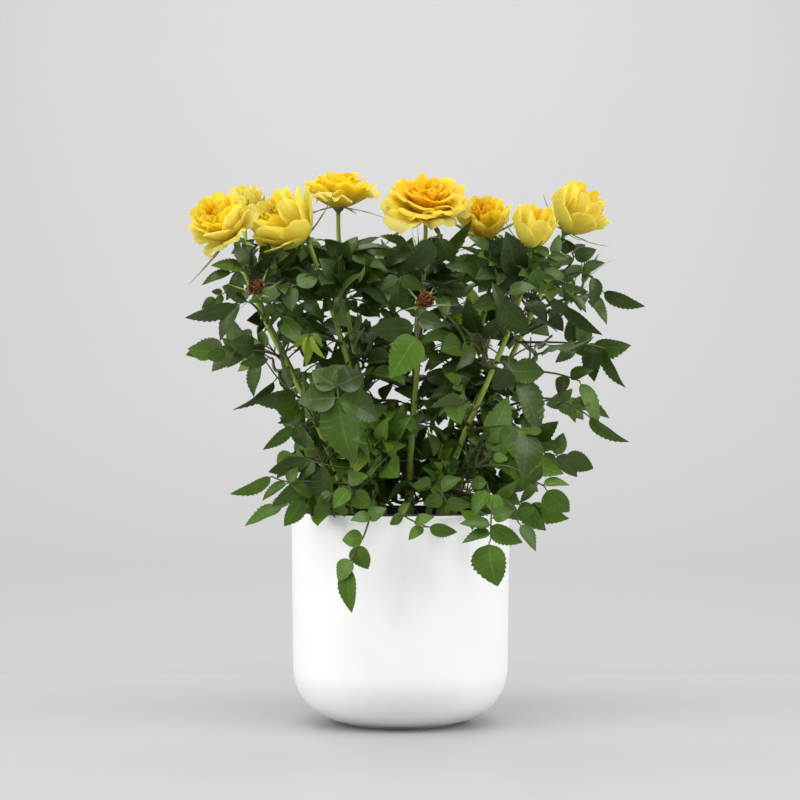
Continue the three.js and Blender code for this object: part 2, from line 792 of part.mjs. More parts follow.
function massSolid(mass, obstacles) {
  const { random, curve } = mass;
  let solid = shootSolid(mass, 0);
  const outward = mass.tip.clone().setZ(0).normalize();
  const sideways = up.clone().cross(outward);
  const add = (piece) => {
    if (overlaps(piece, obstacles)) return false;
    const next = solid.add(piece);
    if (next.decompose().length !== 1) return false;
    solid = next;
    return true;
  };
  // Adds a leaf and says so, if enough of its leaflets keep to the space and touch nothing.
  const addLeaf = (base, direction, length, kind) => {
    const facing = outward
      .clone()
      .multiplyScalar(mix(0.3, 1, random()))
      .addScaledVector(sideways, mix(-1, 1, random()))
      .addScaledVector(up, mix(0.3, 1, random()));
    const plan = leafPlan(base, direction, facing, length, kind, random);
    const inTheWay = [...obstacles, { solid, box: solid.boundingBox() }];
    if (overlaps(plan.stalkSolid, inTheWay)) return false;
    const kept = [];
    for (const l of plan.leaflets) {
      const guards = kept.map((k) => ({ solid: k.guard, box: k.box }));
      const blocked = overlaps(l.guard, [...inTheWay, ...guards]);
      if (!blocked && keepsToSpace(mass, leafletPoints(l, 0))) kept.push(l);
    }
    plan.leaflets = kept;
    return kept.length >= kind.pairs * 2 && add(solidFrom(leafGeometry(plan)));
  };
  const end = curve.getPoint(0.95);
  const last = mass.tip.clone().sub(end);
  const lastWay = last.clone().normalize().addScaledVector(up, leaf.sag * 0.6).normalize();
  for (let tried = 0; tried < lastTries; tried++) {
    const length = last.length() * mix(1.04, 0.84, tried / lastTries);
    if (addLeaf(end, lastWay, length, leafKinds.five)) break;
  }
  // Side twigs branch off the shoot, a set turn on from one another.
  const limbs = [{ at: (t) => curve.getPoint(t), along: (t) => curve.getTangent(t) }];
  for (let i = 0; i < twig.count; i++) {
    const t = mix(0.75, 0.3, i);
    const along = curve.getTangent(t);
    const radial = squareTo(along, up).applyAxisAngle(along, radians(137.5 * i + 60 + 60 * random()));
    const way = along.clone().addScaledVector(radial, 0.9).normalize();
    const from = curve.getPoint(t);
    const length = curve.getLength() * twig.share;
    const to = from.clone().addScaledVector(way, length);
    const line = [from, from.clone().lerp(to, 3 / length), to];
    if (add(solidFrom(taperedTube(line, [0.4, twig.radius, twig.radius * 0.8], 3, way))))
      limbs.push({ at: (s) => from.clone().lerp(to, s), along: () => way });
  }
  const wanted = mass.leaves || leavesPerMass;
  let count = 1;
  for (let tried = 0; tried < tries; tried++) {
    if (count >= wanted || solid.numTri() >= facesPerMass) break;
    const limb = limbs[tried % limbs.length];
    const t = mix(0.15, 0.95, random());
    const along = limb.along(t);
    const radial = squareTo(along, up).applyAxisAngle(along, 2 * Math.PI * random());
    const forward = mix(0.2, 0.9, random());
    const direction = along.clone().multiplyScalar(forward).addScaledVector(radial, 0.9).normalize();
    const shrink = tried / tries;
    const kind = shrink < 0.3 ? leafKinds.five : leafKinds.three;
    if (addLeaf(limb.at(t), direction, kind.length * mix(1.1, 0.75, shrink), kind)) count++;
  }
  return solid;
}

// ---- the whole plant

const plant = new THREE.Group();
const standing = []; // what foliage has to keep clear of

function addPiece(name, geometry, finish) {
  const mesh = new THREE.Mesh(geometry, new THREE.MeshStandardMaterial({ ...finish, metalness: 0 }));
  mesh.name = name;
  plant.add(mesh);
  const solid = solidFrom(geometry);
  standing.push({ solid, box: solid.boundingBox(), name });
}

addPiece("white_pot", whitePot(), finishes.pot);
addPiece("nursery_pot", nurseryPot(), finishes.nursery);
addPiece("soil", soilBody(), finishes.soil);
for (const c of canes) addPiece(c.name, caneGeometry(c), finishes.cane);
for (const c of canes) {
  if (c.bloom) addPiece(c.name.replace("cane", "bloom"), geometryOf(bloomSolid(c)), finishes.petal);
  if (c.bud) addPiece(c.name.replace("cane", "bud"), geometryOf(budSolid(c)), finishes.bud);
}
const shoots = chooseShoots(standing);
for (const mass of masses) {
  const others = shoots.filter((s) => s.name !== mass.name);
  addPiece(mass.name, geometryOf(massSolid(mass, [...standing, ...others])), finishes.leaf);
}

export default plant;
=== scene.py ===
import math

import bpy
import numpy as np
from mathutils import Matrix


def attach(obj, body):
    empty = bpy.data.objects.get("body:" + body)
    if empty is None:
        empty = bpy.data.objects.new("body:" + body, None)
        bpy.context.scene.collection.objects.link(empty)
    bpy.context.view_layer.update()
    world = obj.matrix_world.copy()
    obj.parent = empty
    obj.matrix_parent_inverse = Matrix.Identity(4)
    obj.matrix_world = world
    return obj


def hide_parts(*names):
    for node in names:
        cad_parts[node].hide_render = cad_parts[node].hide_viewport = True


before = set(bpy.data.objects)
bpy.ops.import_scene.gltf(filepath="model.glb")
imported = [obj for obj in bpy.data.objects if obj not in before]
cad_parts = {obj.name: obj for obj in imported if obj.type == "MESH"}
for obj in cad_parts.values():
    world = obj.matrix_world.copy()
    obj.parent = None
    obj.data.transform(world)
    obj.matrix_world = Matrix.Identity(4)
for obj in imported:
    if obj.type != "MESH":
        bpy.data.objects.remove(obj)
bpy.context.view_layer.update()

# A miniature yellow rose in a white round-bottomed pot. Sizes are in millimetres until addPiece puts a
# shape into a mesh. +Z is up, and the front looks along -Y.

mm = 0.001
upWay = np.array([0.0, 0.0, 1.0])
seeded = np.random.default_rng
goldenAngle = 137.5  # degrees from one petal, leaf or thorn to the next


# ---- arithmetic on arrays of points

def unit(v):
    return v / np.maximum(np.linalg.norm(v, axis=-1, keepdims=True), 1e-9)


def mix(a, b, t):
    return a + (b - a) * t


# The part of wanted that is square to way, at unit length.
def squareTo(way, wanted):
    return unit(wanted - np.sum(wanted * way, axis=-1, keepdims=True) * way)


# Turns v round axis by angle: v cos a + (axis x v) sin a + axis (axis.v)(1 - cos a).
def turned(v, axis, angle):
    c, s = np.cos(angle), np.sin(angle)
    return v * c + np.cross(axis, v) * s + axis * np.sum(axis * v, axis=-1, keepdims=True) * (1 - c)


# Cubic curve of four control points at shares t: the sum of the points in Bernstein's weights.
def cubic(a, b, c, d, t):
    t = np.asarray(t, float)[..., None]
    return a * (1 - t) ** 3 + 3 * b * t * (1 - t) ** 2 + 3 * c * t * t * (1 - t) + d * t ** 3


def ringTurns(count):
    return np.linspace(0, 2 * np.pi, count, endpoint=False)


# ---- shapes gathered into one mesh

class Bunch:
    # Points, faces of three or four corners, and each corner's place on its sheet.
    def __init__(self):
        self.points, self.faces, self.places, self.count = [], [], [], 0

    # Adds n shapes of k points each, which share their kinds of faces.
    def add(self, points, *kinds, places=None):
        n, k = points.shape[:2]
        starts = (self.count + k * np.arange(n))[:, None, None]
        for faces in kinds:
            own = np.zeros(faces.shape + (2,)) if places is None else places
            self.faces.append((faces + starts).reshape(-1, faces.shape[1]))
            self.places.append(np.tile(own, (n, 1, 1)))
        self.points.append(points.reshape(-1, 3))
        self.count += n * k


def addToScene(name, data):
    thing = bpy.data.objects.new(name, data)
    bpy.context.scene.collection.objects.link(thing)
    return thing


# Makes a gathered shape one piece, in metres, with its material, and hangs it on the root body.
def addPiece(name, bunch, material, sharpAngle=70, sheet=False):
    points = np.concatenate(bunch.points) * mm
    corners = np.concatenate([faces.ravel() for faces in bunch.faces])
    sizes = np.concatenate([np.full(len(faces), faces.shape[1]) for faces in bunch.faces])
    mesh = bpy.data.meshes.new(name)
    mesh.vertices.add(len(points))
    mesh.vertices.foreach_set("co", points.ravel())
    mesh.loops.add(len(corners))
    mesh.loops.foreach_set("vertex_index", corners.astype(np.int32))
    mesh.polygons.add(len(sizes))
    mesh.polygons.foreach_set("loop_start", (np.cumsum(sizes) - sizes).astype(np.int32))
    mesh.update(calc_edges=True)
    if sheet:
        places = np.concatenate([p.reshape(-1, 2) for p in bunch.places]).ravel()
        for mapName in ("sheetMap", "OFBake"):  # the second is kept for the colours' own image
            mesh.uv_layers.new(name=mapName).data.foreach_set("uv", places)
    mesh.polygons.foreach_set("use_smooth", np.ones(len(sizes), bool))
    mesh.set_sharp_from_angle(angle=math.radians(sharpAngle))
    mesh.materials.append(material)
    piece = addToScene(name, mesh)
    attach(piece, "root")
    print(f"{name}: {np.sum(sizes - 2)} triangles")
    return piece


# The faces between the rows and columns of a grid of point numbers.
def quads(grid):
    return np.stack([grid[:-1, :-1], grid[:-1, 1:], grid[1:, 1:], grid[1:, :-1]], -1).reshape(-1, 4)


# Adds n thin closed sheets from their fronts' grids of points, each as thick as told in its middle. A back
# grid shares the front's rim. A corner's place is its share across, from 0 to 0.5 on the front and on to 1
# behind, and its share along.
def addSheets(bunch, grids, thickness):
    n, rows, cols = grids.shape[:3]
    if n == 0:
        return
    front = np.arange(rows * cols).reshape(rows, cols)
    back = front.copy()
    back[1:-1, 1:-1] = rows * cols + np.arange((rows - 2) * (cols - 2)).reshape(rows - 2, cols - 2)
    v, u = np.meshgrid(np.linspace(0, 1, rows), np.linspace(0, 1, cols), indexing="ij")
    inset = (0.02 + 0.96 * np.stack([quads(u), quads(v)], -1)) * [0.5, 1]
    faces = np.concatenate([quads(front), quads(back)[:, ::-1]])
    normals = unit(np.cross(np.gradient(grids, axis=2), np.gradient(grids, axis=1)))
    behind = (grids - normals * thickness)[:, 1:-1, 1:-1]
    points = np.concatenate([grids.reshape(n, -1, 3), behind.reshape(n, -1, 3)], axis=1)
    bunch.add(points, faces, places=np.concatenate([inset, (inset + [0.5, 0])[:, ::-1]]))


# The faces of a closed tube of k rings, whose two ends' middles are its last two points.
def tubeFaces(k, sides):
    rings = np.arange(k * sides).reshape(k, sides)
    rings = np.concatenate([rings, rings[:, :1]], axis=1)
    ends = np.full((sides, 1), k * sides)
    foot = np.hstack([ends, rings[0, 1:, None], rings[0, :-1, None]])
    top = np.hstack([ends + 1, rings[-1, :-1, None], rings[-1, 1:, None]])
    return quads(rings), np.concatenate([foot, top])


# Adds closed tubes along one line or more of k points, with a radius at each point and a flat fan over each
# end.
def addTubes(bunch, lines, radii, sides, ribs=1.0):
    lines = np.array(lines, ndmin=3)
    reach = np.broadcast_to(radii, lines.shape[:2])[:, :, None] * ribs
    along = unit(np.gradient(lines, axis=1))
    whole = unit(lines[:, -1] - lines[:, 0])
    aside = np.where(np.abs(whole[:, :1]) < 0.8, [[1.0, 0, 0]], [[0, 1.0, 0]])
    side = squareTo(along, squareTo(whole, aside)[:, None])
    turn = ringTurns(sides)[:, None]
    ways = side[:, :, None] * np.cos(turn) + np.cross(along, side)[:, :, None] * np.sin(turn)
    rings = (lines[:, :, None] + ways * reach[..., None]).reshape(len(lines), -1, 3)
    bunch.add(np.concatenate([rings, lines[:, :1], lines[:, -1:]], axis=1), *tubeFaces(lines.shape[1], sides))


# A closed body of revolution: each point of the profile carried round +Z, with the ends on the axis. Relief
# lifts its points.
def lathe(profile, segments, relief=None):
    radius, height = np.array(profile, float).T[..., None]
    turn = ringTurns(segments)
    rings = np.stack([radius * np.cos(turn), radius * np.sin(turn), height + 0 * turn], -1)[1:-1]
    if relief:
        rings[..., 2] += relief(rings)
    ends = [[0, 0, height[0, 0]], [0, 0, height[-1, 0]]]
    bunch = Bunch()
    bunch.add(np.concatenate([rings.reshape(-1, 3), ends])[None], *tubeFaces(len(rings), segments))
    return bunch


# Smooth bumps over a body, about -1 to 1: waves of set lengths and seeded ways, added up.
def waves(points, length, seed, count=9):
    rng = seeded(seed)
    ways = unit(rng.normal(size=(count, 3))) * (2 * np.pi / length) * rng.uniform(0.6, 1.8, (count, 1))
    return np.sin(points @ ways.T + rng.uniform(0, 6.28, count)).sum(-1) / math.sqrt(count)


# ---- materials

class Number:
    # A number that varies over a surface: a socket, on which each operator adds a Math node.
    def __init__(self, finish, socket):
        self.finish, self.socket = finish, socket

    def operator(kind, swapped=False):
        def work(self, *others):
            terms = (self, *others)[::-1] if swapped else (self, *others)
            return self.finish.number("ShaderNodeMath", dict(enumerate(terms)), operation=kind)
        return work

    __add__ = __radd__ = operator("ADD")
    __mul__ = __rmul__ = operator("MULTIPLY")
    __sub__ = operator("SUBTRACT")
    __rsub__ = operator("SUBTRACT", swapped=True)
    __pow__ = operator("POWER")
    __gt__ = operator("GREATER_THAN")
    __mod__ = operator("FLOORED_MODULO")
    __abs__ = operator("ABSOLUTE")
    sine = operator("SINE")


class Finish:
    # One material: node() adds any node with its inputs, stops and settings, and shader() ends it.
    def __init__(self, name):
        self.material = bpy.data.materials.new(name)
        self.material.use_nodes = True
        self.tree = self.material.node_tree
        self.tree.nodes.clear()

    def node(self, kind, inputs=None, stops=(), **settings):
        made = self.tree.nodes.new(kind)
        for key, value in settings.items():
            setattr(made, key, value)
        for i, (place, colour) in enumerate(stops):
            stop = made.color_ramp.elements[i] if i < 2 else made.color_ramp.elements.new(place)
            stop.position, stop.color = place, (*colour, 1)
        for key, value in (inputs or {}).items():
            value = value.socket if isinstance(value, Number) else value
            if isinstance(value, bpy.types.NodeSocket):
                self.tree.links.new(value, made.inputs[key])
            else:
                made.inputs[key].default_value = value
        return made

    def number(self, kind, inputs, **settings):
        return Number(self, self.node(kind, inputs, **settings).outputs[0])

    def blend(self, share, first, second):
        first, second = [(*c, 1) if isinstance(c, tuple) else c for c in (first, second)]
        return self.node("ShaderNodeMix", {0: share, 6: first, 7: second}, data_type="RGBA").outputs[2]

    # A value brought from low..high to first..last.
    def mapped(self, value, low, high, first=0, last=1):
        return self.number("ShaderNodeMapRange", {0: value, 1: low, 2: high, 3: first, 4: last})

    def split(self, vector):
        return [Number(self, part) for part in self.node("ShaderNodeSeparateXYZ", {0: vector}).outputs]

    def place(self):
        return self.node("ShaderNodeTexCoord").outputs["Object"]

    def noise(self, scale, detail=4, stretch=(1, 1, 1), rough=0.5):
        placed = self.node("ShaderNodeMapping", {"Vector": self.place(), "Scale": stretch}).outputs[0]
        return self.number("ShaderNodeTexNoise", {"Vector": placed, "Scale": scale, "Detail": detail,
                                                  "Roughness": rough})

    # The sheet's places: across from -1 to 1, along from 0 to 1, and 1 on the back.
    def sheetPlace(self):
        u, v, depth = self.split(self.node("ShaderNodeUVMap", uv_map="sheetMap").outputs[0])
        return (u % 0.5) * 4.1667 - 1.0417, v * 1.0417 - 0.0208, u > 0.5

    # Bumps are a height with its distance and strength. Through is the share of light that comes through.
    def shader(self, colour, roughness, bumps=None, specular=0.5, through=0.0, throughColour=None):
        lit = {}
        if bumps:
            told = dict(zip(("Height", "Distance", "Strength"), bumps))
            lit["Normal"] = self.node("ShaderNodeBump", told).outputs[0]
        told = {"Base Color": colour, "Roughness": roughness, "Specular IOR Level": specular, **lit}
        surface = self.node("ShaderNodeBsdfPrincipled", told).outputs[0]
        if through:
            thin = self.node("ShaderNodeBsdfTranslucent", {"Color": throughColour, **lit}).outputs[0]
            surface = self.node("ShaderNodeMixShader", {0: through, 1: surface, 2: thin}).outputs[0]
        self.node("ShaderNodeOutputMaterial", {"Surface": surface})
        return self.material


# ---- camera, light and room

camera = {"lens": 105.4, "place": (-0.0003, -1.406, 0.1928)}
room = {"tableEdge": 0.237, "edgeBlur": 0.005, "front": -6.5, "bendFrom": 1.3, "bend": 1.5, "height": 3.2,
        "halfWidth": 5, "table": 0.42, "nearFloor": 0.392, "lowWall": 0.45, "highWall": 0.472}
skyLight = 0.415

# Large soft lights: where each stands, what it faces, its size and its power in watts.
lights = {
    "keyLeft": {"place": (-1.5, -0.62, 0.75), "faces": (0, 0, 0.2), "size": 1.2, "power": 18.5},
    "keyRight": {"place": (1.55, -0.5, 0.7), "faces": (0, 0, 0.2), "size": 1.2, "power": 17.5},
    "above": {"place": (0.0, -0.55, 1.5), "faces": (0, 0, 0.2), "size": 1.0, "power": 17},
    "wash": {"place": (0.0, 1.2, 2.3), "faces": (0, 2.8, 0.5), "size": 2.0, "power": 48},
}


def addCamera():
    data = bpy.data.cameras.new("camera")
    data.lens, data.sensor_width = camera["lens"], 36
    holder = addToScene("camera", data)
    holder.location, holder.rotation_euler = camera["place"], (math.radians(90), 0, 0)
    bpy.context.scene.camera = holder


# The floor runs back level and turns up into the wall by a quarter circle, far behind the plant. Its colour
# changes at the table's edge.
def addRoom():
    turn = np.radians(np.linspace(0, 90, 25))
    y = np.array([room["front"], *(room["bendFrom"] + room["bend"] * np.sin(turn))])
    z = np.array([0, *(room["bend"] * (1 - np.cos(turn))), room["height"]])
    y = np.append(y, y[-1])
    x = np.tile([-room["halfWidth"], room["halfWidth"]], len(y))
    points = np.stack([x, np.repeat(y, 2), np.repeat(z, 2)], -1)
    faces = quads(np.arange(len(points)).reshape(-1, 2))
    mesh = bpy.data.meshes.new("room")
    mesh.from_pydata(points.tolist(), [], faces.tolist())
    mesh.polygons.foreach_set("use_smooth", np.ones(len(faces), bool))
    finish = Finish("paper")
    across, depth, height = finish.split(finish.place())
    table, floor, low, high = [(room[key],) * 3 for key in ("table", "nearFloor", "lowWall", "highWall")]
    edge, blur = room["tableEdge"], room["edgeBlur"]
    behind = finish.mapped(depth, edge - blur, edge + blur)
    wall = finish.blend(finish.mapped(height, 0, 0.75), low, high)
    colour = finish.blend(behind, table, finish.blend(finish.mapped(depth, edge, 2.0), floor, wall))
    mesh.materials.append(finish.shader(colour, behind * 0.4 + 0.4))
    backdrop = addToScene("room", mesh)


def addLights():
    for name, told in lights.items():
        data = bpy.data.lights.new(name, "AREA")
        data.size, data.energy = told["size"], told["power"]
        lamp = addToScene(name, data)
        lamp.location = told["place"]
        lamp.visible_camera = False
        way = unit(np.subtract(told["place"], told["faces"]))
        lamp.rotation_euler = (math.acos(way[2]), 0, math.atan2(way[1], way[0]) + math.pi / 2)
    world = bpy.data.worlds.new("world")
    world.use_nodes = True
    sky = world.node_tree.nodes["Background"].inputs
    sky[0].default_value, sky[1].default_value = (1, 1, 1, 1), skyLight
    bpy.context.scene.world = world
    bpy.context.scene.view_settings.view_transform = "Standard"


addCamera()
addRoom()
addLights()
print("camera, room and lights are in place")

# ---- the pots and the soil

pot = {"rimRadius": 65.4, "bodyRadius": 64.3, "height": 126, "cornerRadius": 32, "wall": 4.2, "edge": 1.3,
       "footRadius": 34, "footHeight": 1, "segments": 160}
nursery = {"rimRadius": 60.2, "lip": 2.2, "lipHeight": 7, "wall": 1.2, "baseRadius": 40, "footRadius": 30,
           "bevel": 5, "proud": 0.9}
soil = {"belowRim": 16, "mound": 4, "flatShare": 0.84, "gap": 0.6, "crumbs": 520, "crumbSizes": (0.5, 1.7)}
rimTop = pot["height"]
potFloor = pot["footHeight"] + pot["wall"]
nurseryTop = rimTop + nursery["proud"]
nurseryFoot = potFloor + 0.3
nurseryWaist = nurseryFoot + nursery["bevel"]
soilTop = rimTop - soil["belowRim"]


# Points on a quarter circle from start, in degrees.
def arc(across, high, radius, start, steps=5):
    turn = np.radians(np.linspace(start, start + 90, steps))
    return list(zip(across + radius * np.cos(turn), high + radius * np.sin(turn)))


def glazedWhite():
    finish = Finish("glazedWhite")
    cloud, grain = finish.noise(14, 3), finish.noise(420, 3)
    colour = finish.blend(cloud, (0.90, 0.90, 0.89), (0.94, 0.94, 0.932))
    return finish.shader(colour, cloud * 0.14 + 0.38, (grain * 0.6 + cloud, 0.00012, 0.5), 0.4)


def addPot():
    wall, rim, foot, corner = [pot[key] for key in ("wall", "rimRadius", "footRadius", "cornerRadius")]
    e = pot["edge"]
    bend = pot["bodyRadius"] - corner, pot["footHeight"] + corner
    profile = [(0, 0), (foot - 0.8, 0), (foot - 0.3, 0.25), (foot, pot["footHeight"])]
    profile += arc(*bend, corner, -90, 18)[1:]
    profile += arc(rim - e, rimTop - e, e, 0) + arc(rim - wall + e, rimTop - e, e, 90)
    profile += arc(*bend, corner - wall, -90, 10)[::-1] + [(0, potFloor)]
    piece = addPiece("whitePot", lathe(profile, pot["segments"]), glazedWhite(), 60)
    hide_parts("white_pot")


def nurseryRadius(z):
    share = (z - nurseryWaist) / (nurseryTop - nurseryWaist)
    return mix(nursery["baseRadius"], nursery["rimRadius"] - nursery["lip"], share)


def blackPlastic():
    finish = Finish("blackPlastic")
    scuff = finish.noise(60, 5, (1, 1, 6))
    colour = finish.blend(scuff, (0.012, 0.012, 0.013), (0.03, 0.029, 0.028))
    return finish.shader(colour, scuff * 0.25 + 0.32, (scuff, 0.0002, 0.4))


def addNursery():
    rim, foot, wall = nursery["rimRadius"], nursery["footRadius"], nursery["wall"]
    inner, under = rim - nursery["lip"], nurseryTop - nursery["lipHeight"]
    waist, neck = nurseryRadius(nurseryWaist), nurseryRadius(under)
    profile = [(0, nurseryFoot), (foot, nurseryFoot), (waist, nurseryWaist), (neck, under),
               (rim - 0.3, under), (rim, under + 0.3), (rim, nurseryTop - 0.4), (rim - 0.4, nurseryTop),
               (inner + 0.3, nurseryTop), (inner, nurseryTop - 0.4), (neck - wall, under),
               (waist - wall, nurseryWaist + wall / 2), (foot - wall / 2, nurseryFoot + wall),
               (0, nurseryFoot + wall)]
    piece = addPiece("growPot", lathe(profile, 96), blackPlastic(), 50)
    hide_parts("nursery_pot")


def soilEdge(z):
    return nurseryRadius(z) - nursery["wall"] - soil["gap"]


def darkCompost():
    finish = Finish("darkCompost")
    crumb, patch = finish.noise(340, 6, rough=0.7), finish.noise(45, 3)
    stops = (0.3, (0.008, 0.005, 0.003)), (0.72, (0.075, 0.045, 0.026)), (0.55, (0.03, 0.018, 0.01))
    colour = finish.node("ShaderNodeValToRGB", {0: crumb}, stops).outputs[0]
    return finish.shader(finish.blend(patch, (0.02, 0.012, 0.008), colour), 0.95, (crumb, 0.0012, 0.8))


# Compost: the filled pot's body, whose top is raised and lowered by waves of three lengths. Crumbs lie on
# it: octahedra with seeded corners.
def addSoil():
    shoulder, foot = soilTop - soil["mound"], nurseryFoot + nursery["wall"] + 0.3
    edge = soilEdge(soilTop) * soil["flatShare"]
    profile = [(0, foot), (nursery["footRadius"] - nursery["wall"] - soil["gap"], foot),
               (soilEdge(nurseryWaist), nurseryWaist + nursery["wall"] + soil["gap"]),
               (soilEdge(shoulder), shoulder)]
    profile += [(edge * s, soilTop) for s in np.linspace(1, 0.02, 34)] + [(0, soilTop)]

    def relief(rings):
        rough = waves(rings, 22, 3) * 0.9 + waves(rings, 7, 4) * 0.6 + waves(rings, 2.6, 5) * 0.35
        return np.where(rings[..., 2] > soilTop - 0.1, np.clip(rough, -1.8, 1.6), 0)

    finish = darkCompost()
    piece = addPiece("compost", lathe(profile, 150, relief), finish, 80)
    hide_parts("soil")
    rng = seeded(11)
    n = soil["crumbs"]
    away, turn = edge * np.sqrt(rng.uniform(0, 1, n)), rng.uniform(0, 2 * np.pi, n)
    size = rng.uniform(*soil["crumbSizes"], (n, 1, 1)) * rng.uniform(0.6, 1.3, (n, 6, 1))
    corners = np.array([[1, 0, 0], [-1, 0, 0], [0, 1, 0], [0, -1, 0], [0, 0, 0.7], [0, 0, -0.7]])
    faces = np.array([[0, 2, 4], [2, 1, 4], [1, 3, 4], [3, 0, 4], [2, 0, 5], [1, 2, 5], [3, 1, 5], [0, 3, 5]])
    middles = np.stack([away * np.cos(turn), away * np.sin(turn), np.full(n, soilTop + 0.9)], -1)
    crumbs = Bunch()
    crumbs.add(middles[:, None] + corners * size, faces)
    addPiece("compostCrumbs", crumbs, finish, 30)


addPot()
addNursery()
addSoil()
print("the pots and the soil are made")

# ---- canes

cane = {"footRadius": 2.2, "tipRadius": 1.25, "flare": 1.5, "flareHeight": 7, "sides": 12, "steps": 70,
        "knots": 24, "swelling": 0.16, "thornsEach": 9, "thornSizes": (1.7, 3.1)}

# Each cane: where it leaves the soil, its tip, the way its tip leans, and the width and openness of its
# bloom. A heavy bloom faces further forward than its tip leans. Tones: pale petals up to the first share
# from outside, and orange ones from the second. Rim: the outermost petals' own openness.
canes = {
    "left_front": {"foot": (-30, -12), "tip": (-97, -31, 286), "lean": (-0.35, -0.55, 0.75),
                   "bloom": (41, 0.6), "rim": 1, "face": (-0.5, -0.58, 0.64), "tones": (0.4, 0.93)},
    "left_back": {"foot": (-27, 16), "tip": (-95, 24, 300), "lean": (0.05, -0.05, 1), "bloom": (24, 0.3),
                  "tones": (0.6, 2)},
    "mid_left": {"foot": (-13, -17), "tip": (-54, -24, 285), "lean": (-0.5, -0.55, 0.6), "bloom": (44, 0.42),
                 "rim": 0.62, "face": (-0.66, -0.44, 0.58), "tones": (0.6, 2)},
    "centre_left": {"foot": (-10, 10), "tip": (-38, 26, 306), "lean": (0.03, -0.12, 1), "bloom": (44, 0.84),
                    "rim": 0.9, "tones": (0.25, 0.75)},
    "centre": {"foot": (4, -7), "tip": (15, -12, 298), "lean": (0.02, -0.38, 0.92), "bloom": (54, 1),
               "face": (0.02, -0.52, 0.85), "tones": (0.13, 0.6)},
    "centre_right": {"foot": (16, 8), "tip": (55, 8, 289), "lean": (-0.12, -0.42, 0.9), "bloom": (33, 0.45),
                     "rim": 0.6, "face": (-0.25, -0.62, 0.75), "tones": (0.35, 0.68)},
    "mid_right": {"foot": (22, -17), "tip": (76, -22, 279), "lean": (0.2, -0.25, 0.95), "bloom": (29, 0.22),
                  "rim": 0.42, "tones": (0.5, 0.85)},
    "right": {"foot": (31, 9), "tip": (99, 20, 292), "lean": (0.5, -0.35, 0.8), "bloom": (37, 0.36),
              "rim": 0.6, "tones": (0.6, 0.85)},
    "back_left": {"foot": (-12, 32), "tip": (-38, 66, 262), "lean": (-0.2, 0.35, 0.9), "bud": 8},
    "back": {"foot": (6, 24), "tip": (12, 50, 276), "lean": (0.1, 0.3, 0.95), "bud": 8},
    "back_right": {"foot": (24, 30), "tip": (62, 66, 258), "lean": (0.3, 0.3, 0.9), "bud": 8},
}
sampleShares = np.linspace(0, 1, 81)


# A stem's end leans a little less than it is told to.
def endOf(c):
    return unit(mix(unit(c["lean"]), upWay, 0.45))


# A cane leaves the soil upright and bends over to the way of its end.
def caneLine(c, shares):
    foot, tip = np.array([*c["foot"], soilTop + 0.3]), np.array(c["tip"], float)
    high = tip[2] - foot[2]
    return cubic(foot, foot + upWay * high * 0.3, tip - c["end"] * high * 0.34, tip, shares)


# The radius narrows by the share to the power 0.8, and widens at the foot by the square of what is left.
def caneRadius(share, high):
    flare = np.maximum(0, 1 - share * high / cane["flareHeight"])
    return mix(cane["footRadius"], cane["tipRadius"], share ** 0.8) * mix(1, cane["flare"], flare * flare)


for c in canes.values():
    c["end"], c["high"] = endOf(c), c["tip"][2] - soilTop
    c["samples"] = caneLine(c, sampleShares)


# The point of a cane at a height, its way there and its radius.
def caneAt(c, z):
    share = np.interp(z, c["samples"][:, 2], sampleShares)
    here, beyond = [np.array([np.interp(s, sampleShares, column) for column in c["samples"].T])
                    for s in (share, share + 0.01)]
    return here, unit(beyond - here), float(caneRadius(share, c["high"]))


# Green rind: yellower in streaks, browner near the soil, with pale flecks along it.
def greenRind():
    finish = Finish("greenRind")
    streak, fleck = finish.noise(90, 4, (1, 1, 0.25)), finish.noise(900, 2, (1, 1, 0.5))
    young = finish.blend(streak, (0.28, 0.42, 0.05), (0.43, 0.58, 0.09))
    low = finish.mapped(finish.split(finish.place())[2], 0.112, 0.165, 1, 0)
    old = finish.blend(low * (streak * 0.8 + 0.35), young, (0.085, 0.075, 0.03))
    marked = finish.blend((fleck > 0.66) * 0.5, old, (0.30, 0.30, 0.14))
    return finish.shader(marked, streak * 0.2 + 0.38, (streak + fleck * 0.5, 0.0004, 0.5))


# Canes with a swelling at each knot and low ribs along them.
def addCanes():
    bunch = Bunch()
    shares = np.concatenate([np.linspace(0, 0.06, 7)[:-1], np.linspace(0.06, 1, cane["steps"] - 6)])
    turn = ringTurns(cane["sides"])
    for i, c in enumerate(canes.values()):
        along = shares * c["high"]
        knot = np.exp(-(((along + 7 * i) % cane["knots"] - cane["knots"] / 2) / 1.1) ** 2)
        radii = caneRadius(shares, c["high"]) * (1 + cane["swelling"] * knot)
        ribs = 1 + 0.035 * np.sin(4 * turn + i) + 0.03 * np.sin(along[:, None] * 0.9 + 2 * turn + i)
        addTubes(bunch, caneLine(c, shares), radii, cane["sides"], ribs)
    piece = addPiece("canes", bunch, greenRind(), 75)
    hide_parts(*[f"cane_{name}" for name in canes])


